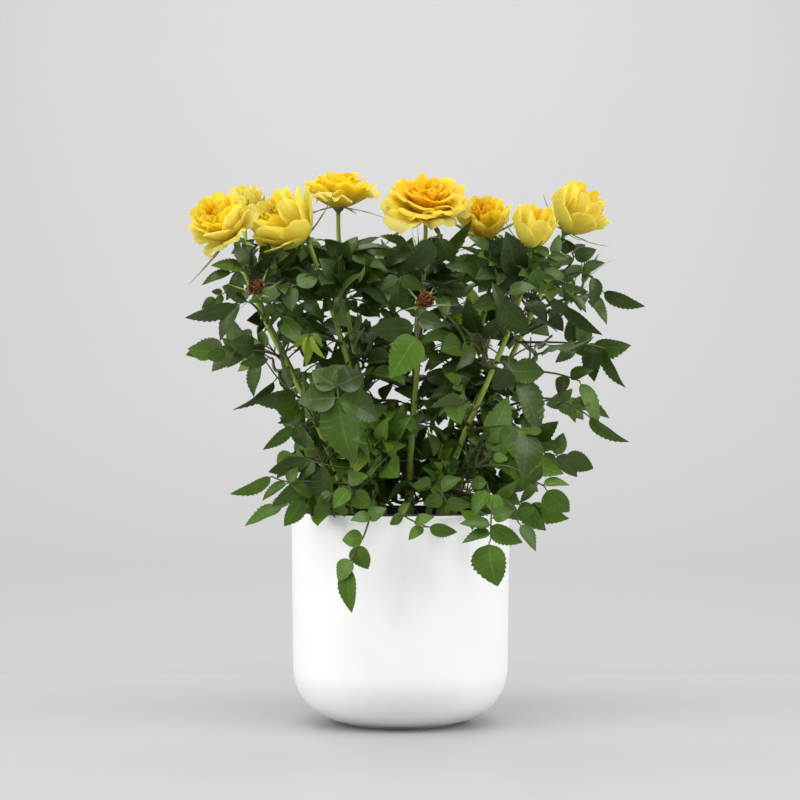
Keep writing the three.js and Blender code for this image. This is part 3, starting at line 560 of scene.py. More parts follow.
# Thorns: cones of four steps, wide at the foot and hooked down, at a set turn from one another.
def addThorns():
    bunch, rng = Bunch(), seeded(21)
    s = np.array([0, 0.35, 0.7, 1.0])[:, None]
    for c in canes.values():
        for k in range(cane["thornsEach"]):
            z = mix(soilTop + 12, c["tip"][2] - 22, (k + rng.uniform(0.1, 0.9)) / cane["thornsEach"])
            point, along, radius = caneAt(c, z)
            out = turned(squareTo(along, np.array([1.0, 0, 0])), along, math.radians(goldenAngle * k))
            size = rng.uniform(*cane["thornSizes"])
            line = point + out * (radius * 0.7 + size * s) - upWay * size * 0.4 * s ** 2
            addTubes(bunch, line, np.array([0.85, 0.42, 0.2, 0.05]) * size / 2.4, 6)
    finish = Finish("thornRed")
    colour = finish.blend(finish.noise(300, 2), (0.16, 0.045, 0.02), (0.30, 0.16, 0.06))
    addPiece("thorns", bunch, finish.shader(colour, 0.45), 60)


addCanes()
addThorns()
print("the canes are made")

# ---- blooms, buds and what holds them

# Whorls from the outermost to the heart, as shares of the bloom's width: how far a petal's tip is out and
# up.
whorls = {"at": [0, 0.3, 0.65, 1],
          "closed": {"out": [0.36, 0.29, 0.18, 0.06], "high": [0.86, 0.95, 0.94, 0.88]},
          "open": {"out": [0.53, 0.44, 0.28, 0.09], "high": [0.08, 0.19, 0.32, 0.34]}}
petal = {"rows": 10, "cols": 9, "thickness": 0.3, "fewest": 13, "most": 54, "fullness": 1.1}
calyx = {"neck": 1.4, "hipRadius": 3.1, "hipHeight": 4.8, "sepals": 5, "sepalLength": 27, "sepalsUp": 10,
         "sepalsDown": -6, "bloomWidth": 36}

# Petal colours: at the base, at the tip and on the back, and the share of light that comes through. The
# # paler tips of the outer and middle petals are partly a painted highlight.
silks = {
    "petalsOuter": ("paleYellow", (0.99, 0.83, 0.10), (0.98, 0.91, 0.29), (0.98, 0.90, 0.42), 0.68),
    "petalsMiddle": ("goldYellow", (0.99, 0.76, 0.03), (0.99, 0.88, 0.13), (0.98, 0.87, 0.20), 0.68),
    "petalsHeart": ("orangeYellow", (0.99, 0.60, 0.018), (0.99, 0.79, 0.05), (0.99, 0.78, 0.07), 0.66),
    "petalsGreen": ("greenYellow", (0.62, 0.70, 0.10), (0.97, 0.88, 0.20), (0.66, 0.75, 0.24), 0.5),
}

# Small flower heads on side stems: green buds not yet coloured, and spent blooms of a few dry petals. Each
# leaves a cane at a height.
sideHeads = {
    "buddingLow": {"cane": "right", "start": 232, "tip": (99, -8, 249), "lean": (0.15, -0.3, 0.9),
                   "bud": 6.4},
    "buddingHigh": {"cane": "right", "start": 246, "tip": (109, -8, 262), "lean": (0.3, -0.2, 0.9), "bud": 5},
    "spentLeft": {"cane": "left_front", "start": 238, "tip": (-81, -54, 251), "lean": (-0.3, -0.6, 0.7),
                  "spent": 12},
    "spentCentre": {"cane": "centre", "start": 226, "tip": (13, -70, 243), "lean": (0.1, -0.6, 0.7),
                    "spent": 11},
}
hips, sepals, buds = Bunch(), Bunch(), Bunch()


# The axis and the angle that lean a flower from +Z to the way it faces.
def leanOf(c):
    lean = unit(c.get("face", c["lean"]))
    axis = np.cross(upWay, lean)
    return unit(axis), math.atan2(np.linalg.norm(axis), lean[2])


# The way of the neck in the flower's own frame, so that it meets the stem's end.
def neckOf(c):
    axis, angle = leanOf(c)
    return turned(c["end"], axis, -angle) * calyx["neck"]


# Turns local points, made about +Z, to lean, and puts the neck's foot on the stem's tip.
def seated(points, c):
    axis, angle = leanOf(c)
    return turned(points + neckOf(c), axis, angle) + c["tip"] + c["end"] * 0.3


# Petals about +Z, one after another at the golden angle. Up a petal its middle line is a cubic from the
# base to the tip's place in its whorl. Across it bends round the axis, by its half-width over its distance
# from the axis. Gives each petal's share from the outside in, and its grid.
def petalGrids(width, openness, rng, rim=None):
    n = int(round(mix(petal["fewest"], petal["most"], openness ** 1.2)))
    w = (np.arange(n) / (n - 1))[:, None, None]
    v = np.linspace(0, 1, petal["rows"])[None, :, None]
    u = np.linspace(-1, 1, petal["cols"])[None, None, :]
    openness = mix(openness if rim is None else rim, openness, np.clip(w / 0.35, 0, 1))

    def spread(low, high):
        return rng.uniform(low, high, (n, 1, 1))

    def read(key):
        closed, wide = [np.interp(w, whorls["at"], whorls[state][key]) for state in ("closed", "open")]
        return width * mix(closed, wide, openness)

    out, high = read("out") * spread(0.88, 1.06), read("high") * spread(0.9, 1.08)
    out = out * (1 + 0.3 * (w < 0.12) * (1 - openness) * spread(0, 1))
    flat = openness * (1 - w) ** 0.8
    high = high + width * flat * spread(-0.06, 0.07)
    pointed = openness * (1 - w) ** 2
    tip = v * (1 - 0.26 * np.abs(u) ** mix(2.6, 1.5, pointed))  # the sides end lower than the middle
    base = width * 0.045 * (1 - 0.6 * w)
    p1 = mix(width * 0.44 * (1 - 0.6 * w), out * 0.5, openness), mix(width * 0.10, width * 0.05, openness)
    p2 = mix(out * 1.2, out * 0.82, openness), mix(high * 0.60, high + width * 0.11 * (1 - w), openness)
    a, b, c, d = (1 - tip) ** 3, 3 * tip * (1 - tip) ** 2, 3 * tip * tip * (1 - tip), tip ** 3
    r = a * base + b * p1[0] + c * p2[0] + d * out
    z = b * p1[1] + c * p2[1] + d * high
    half = width * mix(mix(0.27, 0.25, openness), 0.10, w ** 0.8) * spread(0.8, 1.15)
    shape = np.sin(np.pi * (0.08 + 0.56 * v)) ** 0.9
    swing = np.clip(half * shape / np.maximum(r, half * 0.5), 0, 1.5) * u
    phase = spread(0, 6.28)
    ruffle = np.sin(4.6 * u + phase) + 0.55 * np.sin(8.3 * u + 2 * phase)
    ruffle = width * mix(0.028, 0.034, openness) * v ** 2 * ruffle
    lap = width * mix(0.045, 0.015, openness) * u * v  # one edge lies over the next petal, the other under
    curl = np.maximum(v - 0.62, 0) / 0.38
    rolled = width * 0.075 * curl ** 2 * (1 - w) * (0.5 + u * u) * spread(0.3, 1.3)
    r = r + ruffle * (1 - 0.6 * flat) + lap + rolled * (1 - flat)
    z = z + ruffle * flat * 1.3 - rolled * (0.35 + 0.2 * flat) + width * spread(-0.05, 0.05) * u * v
    turn = np.radians(goldenAngle) * np.arange(n)[:, None, None] + spread(-0.2, 0.2) + swing
    return w[:, 0, 0], np.stack([-r * np.sin(turn), r * np.cos(turn), z + 0 * turn], -1)


# A sepal: a leaf blade that narrows to a thread, with two pairs of side lobes, bending as it goes.
def sepalGrids(size, angle, rng, droop):
    n, rows = calyx["sepals"], 9
    s = np.linspace(0, 1, rows)[None, :, None]
    u = np.array([-1, 0, 1.0])[None, None, :]
    length = calyx["sepalLength"] * size * rng.uniform(0.85, 1.2, (n, 1, 1))
    lobes = 1 + 0.45 * (np.arange(rows) % 2)[None, :, None] * (s > 0.2)
    wide = size * (1.5 * (1 - s) ** 1.1 + 0.14) * lobes
    lift = angle + rng.uniform(-0.15, 0.15, (n, 1, 1)) - droop * s * rng.uniform(0.2, 1.3, (n, 1, 1))
    r = calyx["hipRadius"] * size * 0.9 + length * s * np.cos(lift)
    z = calyx["hipHeight"] * size * 0.5 + length * s * np.sin(lift)
    turn = 2 * np.pi * np.arange(n)[:, None, None] / n + rng.uniform(-0.2, 0.2, (n, 1, 1))
    cup = 0.25 * wide * np.abs(u)
    x, y = r - cup * np.sin(lift), wide * u
    return np.stack([x * np.cos(turn) - y * np.sin(turn), x * np.sin(turn) + y * np.cos(turn),
                     z + cup * np.cos(lift) + 0 * turn], -1)


# Adds what holds a flower: a neck and hip, which is a tube from the stem's tip that swells into an urn, and
# sepals that leave it at an angle in degrees.
def addCalyx(c, size, angle, droop, rng, thickness=0.35, slim=1.0):
    hip, high, tip = calyx["hipRadius"] * size, calyx["hipHeight"] * size, cane["tipRadius"]
    line = [-neckOf(c) * s for s in (1.5, 0.7, 0.25)]
    line += [upWay * high * s for s in (0.05, 0.22, 0.42, 0.65, 0.88, 1.05)]
    radii = np.append(tip * np.array([1, 1.04, 1.15, 1.5]), hip * np.array([0.8, 1, 0.95, 0.75, 0.5]))
    addTubes(hips, seated(np.array(line), c), radii * slim, 10)
    addSheets(sepals, seated(sepalGrids(size, math.radians(angle), rng, droop), c), thickness)


# A colour for petals: from base to tip along the front, paler at the rim and on the back, with fine veins
# that fan out from the base. On the yellow petals the pale rim and the pale tips are partly the petals' own
# paling and partly a painted highlight.
def petalSilk(name, base, tip, back, through, edge=(0.97, 0.90, 0.45)):
    finish = Finish(name)
    across, along, isBack = finish.sheetPlace()
    fan = (across * 30 + along * along * across * 6).sine()
    patch = finish.noise(55, 2)
    # The rim and the tip blend towards the pale edge colour: partly the petal's own paler edge, partly a
    # painted highlight.
    rim = (abs(across) ** 8) * 0.4 + (along ** 9) * 0.45
    front = finish.blend(rim, finish.blend(along * 0.75 + patch * 0.4, base, tip), edge)
    behind = finish.blend(along ** 0.7, back, tuple(mix(np.array(back), np.array(tip), 0.6)))
    colour = finish.blend(isBack, front, behind)
    veined = finish.blend((fan * 0.5 + 0.5) * 0.07, colour, tuple(np.array(base) * 0.75))
    return finish.shader(veined, 0.6, (fan * along, 0.0001, 0.4), 0.15, through, (*tip, 1))


def addBlooms():
    bunches = {kind: Bunch() for kind in silks}
    for i, c in enumerate(canes.values()):
        rng = seeded(300 + i)
        if "bud" in c:
            addCalyx(c, 0.75, 80, 0.1, rng)
            continue
        width, openness = c["bloom"]
        size = float(np.clip(width / calyx["bloomWidth"], 0.8, 1.15))
        hip = calyx["hipHeight"] * size
        w, grids = petalGrids(width * petal["fullness"], openness, rng, c.get("rim"))
        grids = seated(grids + upWay * hip * 0.4, c)
        c["middle"] = seated(upWay * (hip + width * mix(0.45, 0.15, openness)), c)
        pale, orange = c["tones"]
        kinds = np.where(w < pale, "petalsOuter", np.where(w > orange, "petalsHeart", "petalsMiddle"))
        kinds[(w < 0.12) & (openness < 0.45)] = "petalsGreen"
        for kind, bunch in bunches.items():
            addSheets(bunch, grids[kinds == kind], petal["thickness"])
        angle = mix(calyx["sepalsUp"], calyx["sepalsDown"], openness)
        addCalyx(c, size, angle, mix(-0.75, 0.35, openness), rng)
    for kind, bunch in bunches.items():
        piece = addPiece(kind, bunch, petalSilk(*silks[kind]), 80, sheet=True)
        if kind == "petalsMiddle":
            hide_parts(*[f"bloom_{name}" for name in canes if "bloom" in canes[name]])


# Buds: a pointed egg, its skin in five folds.
def addBud(c):
    s = np.linspace(0, 1, 12)
    high = 2 + 14.5 * s * c["bud"] / 8
    radii = c["bud"] * 0.5 * (np.sin(np.pi * s ** 0.8) ** 0.75) + 0.12
    ribs = 1 + 0.06 * np.cos(5 * ringTurns(15) + 3 * s[:, None])
    addTubes(buds, seated(high[:, None] * upWay, c), radii, 15, ribs)


def freshGreen(name, dark, light):
    finish = Finish(name)
    patch = finish.noise(160, 4)
    return finish.shader(finish.blend(patch, dark, light), 0.5, (patch, 0.0003, 0.4))


def addSideHeads():
    spent, stems = Bunch(), []
    for i, c in enumerate(sideHeads.values()):
        rng = seeded(700 + i)
        c["end"] = endOf(c)
        point, tip = caneAt(canes[c["cane"]], c["start"])[0], np.array(c["tip"], float)
        stems.append(cubic(point, mix(point, tip, 0.5), tip - c["end"] * 9, tip, np.linspace(0, 1, 16)))
        if "bud" in c:
            addBud(c)
        else:
            grids = petalGrids(c["spent"], 0.55, rng)[1]
            grids = grids + rng.normal(0, 0.55, grids.shape)
            addSheets(spent, seated(grids[::2] + upWay * 3, c), 0.25)
        slim = [0.65, 0.65, 0.65, 0.8, 1, 1, 1, 1, 1]
        addCalyx(c, 0.62, 72 if "bud" in c else 20, 0.2, rng, 0.3, slim)
    rust = petalSilk("rustBrown", (0.11, 0.03, 0.012), (0.21, 0.075, 0.025), (0.17, 0.075, 0.03), 0.1,
                     (0.27, 0.13, 0.05))
    addPiece("spentPetals", spent, rust, 80, sheet=True)
    return stems


addBlooms()
sideStems = addSideHeads()
for c in canes.values():
    if "bud" in c:
        addBud(c)
budPiece = addPiece("buds", buds, freshGreen("budGreen", (0.10, 0.19, 0.04), (0.20, 0.30, 0.07)), 70)
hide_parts(*[f"bud_{name}" for name in canes if "bud" in canes[name]])
print("the blooms and buds are made")

# ---- foliage

# The crown's levels: the height at which shoots leave their canes, the height of their tips, the tips'
# reach to the left, right, front and back, the leaves each mass bears, and a bearing in degrees for each
# mass.
levels = {
    "low": {"start": 130, "tip": 137, "reach": (96, 101, 82, 86), "leaves": 9,
            "bearings": (0, 70, 130, 180, 240, 295)},
    "middle": {"start": 150, "tip": 170, "reach": (90, 131, 86, 90), "leaves": 9,
               "bearings": (0, 90, 150, 210, 268, 315)},
    "high": {"start": 178, "tip": 206, "reach": (120, 128, 90, 96), "leaves": 9,
             "bearings": (0, 60, 125, 180, 236, 284)},
    "top": {"start": 212, "tip": 242, "reach": (131, 143, 84, 98), "leaves": 6,
            "bearings": (0, 90, 145, 180, 222, 280, 322)},
    "crest": {"start": 246, "tip": 292, "reach": (104, 104, 58, 76), "leaves": 16,
              "bearings": (35, 90, 150, 212, 262, 318)},
}
# The two masses that hang over the rim are grown as sprays.
hanging = {"hanging_left": {"start": 134, "tip": np.array([-33.0, -84, 68])},
           "hanging_right": {"start": 138, "tip": np.array([52.0, -80, 81])}}
crown = {"lowest": 112, "highest": 306, "backStretch": 17, "offCane": 2.4, "offBloom": 1.5, "offPot": 2,
         "openFrom": 208, "openTo": 246, "openShare": 0.35}
leaf = {"lengthAtTip": 60, "longest": 58, "shortest": 30, "sag": 0.42, "pairAngle": 62, "stalkRadius": 0.42,
        "thickness": 0.3, "widthShare": 0.6, "rows": 21}
shoot = {"straight": 0.2, "arch": 0.08, "shortest": 10, "baseRadius": 1.3, "tipRadius": 0.6,
         "twigRadii": (0.7, 0.4), "fineRadii": (0.5, 0.35)}
spray = {"twigs": 8, "twigShare": 0.5, "tries": 180, "apart": 4.8, "caneSpacing": 12, "aboveSoil": 34,
         "belowBloom": 12, "caneTries": 7, "caneLengths": (42, 60)}

# Between these heights a cane is seen from the front, so no leaf stands before it.
bareRuns = (("left_front", 216, 228), ("left_front", 160, 186), ("centre", 188, 214), ("centre", 148, 174),
            ("mid_right", 166, 205), ("mid_right", 217, 239), ("right", 222, 243), ("right", 136, 153),
            ("mid_left", 212, 234))


# Where a level's tips lie at a bearing: an ellipse whose four reaches differ.
def reachAt(reach, bearing):
    across, deep = np.cos(bearing), np.sin(bearing)
    left, right, front, back = reach
    return np.stack([across * np.where(across < 0, left, right), deep * np.where(deep < 0, front, back)], -1)


# The crown's outline at heights and bearings: the levels' reaches, in straight runs from level to level.
def crownReach(z, bearing):
    heights = [100, *[level["tip"] for level in levels.values()], crown["highest"]]
    away = np.stack([np.linalg.norm(reachAt(level["reach"], bearing), axis=-1) for level in levels.values()])
    away = np.concatenate([away[:1] * 0.92, away, away[-1:] * 0.8])
    place = np.interp(z, heights, np.arange(len(heights)))
    low = np.clip(place.astype(int), 0, len(heights) - 2)
    index = np.arange(len(z))
    return mix(away[low, index], away[low + 1, index], place - low)


# Roots a mass on a cane, the one nearest to the foot of the mass's solid. Its shoot leaves the cane square
# to it, arches and ends where its last leaf begins.
def rootMass(name, mass):
    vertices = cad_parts[f"foliage_{name}"].data.vertices
    solid = np.empty(len(vertices) * 3)
    vertices.foreach_get("co", solid)

    def offSolid(c):
        point, along, radius = caneAt(c, mass["start"])
        return np.min(np.linalg.norm(solid.reshape(-1, 3) / mm - point, axis=1)) - radius

    carrier = min([c for c in canes.values() if c["tip"][2] > mass["start"] + 20], key=offSolid)
    point, along, radius = caneAt(carrier, mass["start"])
    way = mass["tip"] - point
    distance = np.linalg.norm(way)
    out = squareTo(along, way)
    begin = point + out * (radius + 0.3)
    end = mass["tip"] - unit(way) * min(leaf["lengthAtTip"], distance - shoot["shortest"])
    middle = mix(begin, end, 0.5) + upWay * distance * shoot["arch"]
    mass["root"], mass["centre"] = point, mix(begin, mass["tip"], 0.55)
    lead = begin + out * distance * shoot["straight"]
    mass["line"] = cubic(begin, lead, middle, end, np.linspace(0, 1, 25))


masses = {}
for levelName, level in levels.items():
    for i, bearing in enumerate(level["bearings"]):
        tip = np.append(reachAt(level["reach"], np.radians(bearing)), level["tip"])
        masses[f"{levelName}_{i + 1}"] = {"start": level["start"], "tip": tip, "leaves": level["leaves"]}
masses.update(hanging)
for name, mass in masses.items():
    rootMass(name, mass)
centres = np.array([mass["centre"] for mass in masses.values()])
canePoints = np.concatenate([c["samples"] for c in canes.values()])
bloomMiddles = np.array([c["middle"] for c in canes.values() if "bloom" in c])
bloomReach = np.array([c["bloom"][0] * 0.5 for c in canes.values() if "bloom" in c])


def hidesCane(flat):
    hides = np.zeros(len(flat), bool)
    for name, low, top in bareRuns:
        line = canes[name]["samples"]
        x, y = [np.interp(flat[:, 2], line[:, 2], line[:, k]) for k in (0, 1)]
        hides |= (np.abs(flat[:, 0] - x) < 4) & (flat[:, 1] < y) & (flat[:, 2] > low) & (flat[:, 2] < top)
    return hides


# True where every point of a leaflet keeps to its mass's space and the crown, clear of canes, blooms and
# pots.
def isFree(points, index, share):
    flat = points.reshape(-1, 3)
    z = flat[:, 2]
    free = (z > crown["lowest"]) & (z < crown["highest"]) & ~hidesCane(flat)
    if index is not None:
        away = np.linalg.norm(flat[:, None] - centres, axis=2)
        free &= away[:, index] <= away.min(axis=1) + 3.0
    radius = np.linalg.norm(flat[:, :2], axis=1)
    bearing = np.arctan2(flat[:, 1], flat[:, 0])
    back = crown["backStretch"] * np.maximum(np.sin(bearing), 0) ** 2
    free &= radius <= (crownReach(z, bearing) + back) * share + 1
    free &= np.linalg.norm(flat[:, None] - canePoints, axis=2).min(axis=1) > crown["offCane"]
    fromBloom = flat[:, None] - bloomMiddles
    fromBloom[..., 2] *= np.where(fromBloom[..., 2] < 0, 2.0, 1.0)
    free &= (np.linalg.norm(fromBloom, axis=2) > bloomReach + crown["offBloom"]).all(axis=1)
    free &= (z > rimTop + crown["offPot"]) | (radius > pot["rimRadius"] + crown["offPot"])
    return free.reshape(points.shape[:-1]).all(axis=1)


# How much of the crown's reach a leaf may use: nearly all of it high up, less lower down, differing leaf by
# leaf. Where the crown is open, one leaf in three finds no room.
def shareAt(z, rng):
    if crown["openFrom"] < z < crown["openTo"] and rng.uniform() < crown["openShare"]:
        return 0
    return np.interp(z, [150, 210, 250, 290], [0.74, 0.60, 0.84, 1.1]) * rng.uniform(0.85, 1.08)


# A compound leaf: a stalk that sags by the square of the way along, one leaflet at its end and pairs beside
# it. It gives the stalk's line and, for each leaflet, its root, way, face and length.
def leafPlan(base, way, facing, length, pairs, rng):
    normal = squareTo(way, facing)
    side = np.cross(way, normal)
    stalk = length * (0.36 + 0.12 * pairs)
    shares, ways, lengths = [1.0], [unit(way - upWay * 1.5 * leaf["sag"])], [length - stalk]
    for i in range(pairs):
        for hand in (1, -1):
            turn = math.radians(leaf["pairAngle"] + rng.uniform(-8, 8)) * hand
            out = way * math.cos(turn) + side * math.sin(turn) - upWay * leaf["sag"] * rng.uniform(0.2, 1.2)
            shares.append(1 - (0.20 + 0.36 * i) * (length * 0.45 / stalk))
            ways.append(unit(out))
            lengths.append((length - stalk) * (0.86 - 0.14 * i) * rng.uniform(0.92, 1.08))
    roots, line = [base + way * stalk * s - upWay * stalk * leaf["sag"] * s * s
                   for s in (np.array(shares)[:, None], np.linspace(0, 1, 6)[:, None])]
    ways = np.array(ways)
    tilt = rng.uniform(-0.45, 0.45, (len(shares), 1))
    normals = squareTo(ways, normal + side * tilt + rng.normal(0, 0.12, (len(shares), 3)))
    return line, roots, ways, normals, np.array(lengths)


# Limbs of a mass: its shoot, then twigs that branch from it at the golden angle, and one finer twig from
# the middle of each. Each limb is its line and its radius at both ends.
def limbsOf(mass, rng):
    line = mass["line"]
    limbs = [(line, shoot["baseRadius"], shoot["tipRadius"])]
    reach = np.linalg.norm(np.diff(line, axis=0), axis=1).sum()
    s = np.linspace(0, 1, 9)[:, None]
    for i in range(spray["twigs"]):
        k = int(mix(5, 22, i / (spray["twigs"] - 1)))
        along = unit(line[k] - line[k - 2])
        out = turned(squareTo(along, upWay), along, math.radians(goldenAngle * i + 50 * rng.uniform()))
        way = unit(along + out * rng.uniform(0.7, 1.3) + upWay * 0.25)
        length = max(reach * spray["twigShare"] * rng.uniform(0.6, 1.1), 16)
        twig = line[k] + way * length * s + upWay * length * 0.16 * s * s
        fineWay = unit(way + turned(squareTo(way, upWay), way, rng.uniform(0, 6.28)) * 0.9)
        fine = twig[4] + fineWay * length * 0.45 * s
        limbs += [(twig, *shoot["twigRadii"]), (fine, *shoot["fineRadii"])]
    return limbs


# Leaf skins from the deepest green to the youngest: the colour in front and behind, the roughness, and the
# share of light that comes through.
skins = {
    "leavesDeep": ((0.038, 0.064, 0.013), (0.11, 0.155, 0.055), 0.3, 0.12),
    "leavesDark": ((0.047, 0.087, 0.012), (0.12, 0.175, 0.055), 0.3, 0.14),
    "leavesMiddle": ((0.063, 0.127, 0.013), (0.13, 0.205, 0.055), 0.34, 0.16),
    "leavesFresh": ((0.087, 0.176, 0.014), (0.16, 0.25, 0.06), 0.4, 0.18),
    "leavesYoung": ((0.26, 0.34, 0.035), (0.28, 0.36, 0.08), 0.42, 0.2),
}


tones = list(skins)


# The tone that a leaf is dealt: fresher on the skirt, deeper up in the crown.
def toneOf(z, rng):
    share = np.interp(z, [115, 150, 200, 290], [0.95, 0.8, 0.55, 0.32]) + rng.uniform(-0.3, 0.3)
    return tones[int(np.clip(share * 4, 0, 3))] if rng.uniform() > 0.02 else "leavesYoung"


# Every leaflet so far, by tone: its root, way, face, length and breadth. Then the lines that carry them.
leaflets = {tone: [] for tone in tones}
middles, stalks, twigs, stems, links = [], [], [], [], []


def addLeaflet(tone, root, way, normal, length, broad=1.0):
    leaflets[tone].append((root, way, normal, length, broad))
    middles.append(root + way * length * 0.5)


# Takes a leaf where its end leaflet and enough others are free and apart, and tells whether it did. A
# leaflet could touch something with its middle, its sides and its tip.
def takeLeaf(plan, index, share, need, z, rng):
    line, roots, ways, normals, lengths = plan
    long = lengths[:, None]
    side = np.cross(ways, normals) * (long * leaf["widthShare"] * 0.5)
    middle = roots + ways * long * 0.45
    points = np.stack([middle, middle + side, middle - side, roots + ways * long], axis=1)
    apart = np.linalg.norm(middle[:, None] - np.array(middles), axis=2).min(axis=1)
    keep = isFree(points, index, share) & (apart >= spray["apart"])
    if keep.sum() < need or not keep[0]:
        return False
    tone = toneOf(z, rng)
    stalks.append(line)
    for k in np.flatnonzero(keep):
        addLeaflet(tone, roots[k], ways[k], normals[k], lengths[k])
    return True


# A mass's last leaf reaches to its tip, and the others leave its limbs where they find room.
def growMass(index, mass):
    rng = seeded(1000 + index)
    outward = unit(mass["tip"] * [1, 1, 0])
    sideways = np.cross(upWay, outward)
    limbs = limbsOf(mass, rng)
    used = set()

    def tryLeaf(base, way, length, pairs, need, share=1.02):
        facing = outward * rng.uniform(0.3, 1) + sideways * rng.uniform(-1, 1) + upWay * rng.uniform(0.3, 1)
        return takeLeaf(leafPlan(base, way, facing, length, pairs, rng), index, share, need, base[2], rng)

    end = mass["line"][-2]
    last = mass["tip"] + outward * crown["backStretch"] * max(outward[1], 0) ** 2 - end
    reach = np.linalg.norm(last)
    way = unit(unit(last) + upWay * leaf["sag"] * 0.6)
    for tried in range(12):
        if tryLeaf(end, way, reach * mix(1.02, 0.8, tried / 12), 2 if reach > 35 else 1, 2):
            break
    count = 0
    for tried in range(spray["tries"]):
        if count >= mass["leaves"]:
            break
        k = tried % len(limbs)
        line = limbs[k][0]
        j = min(int(rng.uniform(0.12, 1) * (len(line) - 1)), len(line) - 2)
        along = unit(line[j + 1] - line[j])
        radial = turned(squareTo(along, upWay), along, rng.uniform(0, 2 * np.pi))
        way = unit(along * rng.uniform(0.2, 0.9) + radial * 0.9 + upWay * 0.2)
        length = mix(leaf["longest"], leaf["shortest"], tried / spray["tries"]) * rng.uniform(0.85, 1.1)
        pairs = 3 if rng.uniform() < 0.18 else 2 if rng.uniform() < 0.75 else 1
        if tryLeaf(mix(line[j], line[j + 1], 0.5), way, length, pairs, pairs + 1, shareAt(line[j][2], rng)):
            count += 1
            used |= {k, k - 1 + k % 2}  # a finer twig needs the twig that it leaves
    twigs.extend(limbs[k] for k in sorted(used) if k > 0)


# A cane's own leaves: one at each knot, turned on from the last, from above the pot up to its bloom.
def growCane(index, c):
    rng = seeded(2000 + index)
    top = c["tip"][2] - spray["belowBloom"]
    for k, z in enumerate(np.arange(soilTop + spray["aboveSoil"], top, spray["caneSpacing"])):
        point, along, radius = caneAt(c, z)
        for tried in range(spray["caneTries"]):
            turn = 2.4 * k + rng.uniform(-0.5, 0.5) + tried * 0.9
            radial = turned(squareTo(along, np.array([1.0, 0, 0])), along, turn)
            way = unit(radial + along * rng.uniform(-0.3, 0.6))
            length = rng.uniform(*spray["caneLengths"]) * (1 - 0.04 * tried)
            facing = upWay * rng.uniform(0.3, 0.9) + radial * rng.uniform(0.4, 1.1)
            plan = leafPlan(point + radial * radius * 0.8, way, facing, length, int(rng.integers(1, 3)), rng)
            if takeLeaf(plan, None, shareAt(z, rng), 3, z, rng):
                break


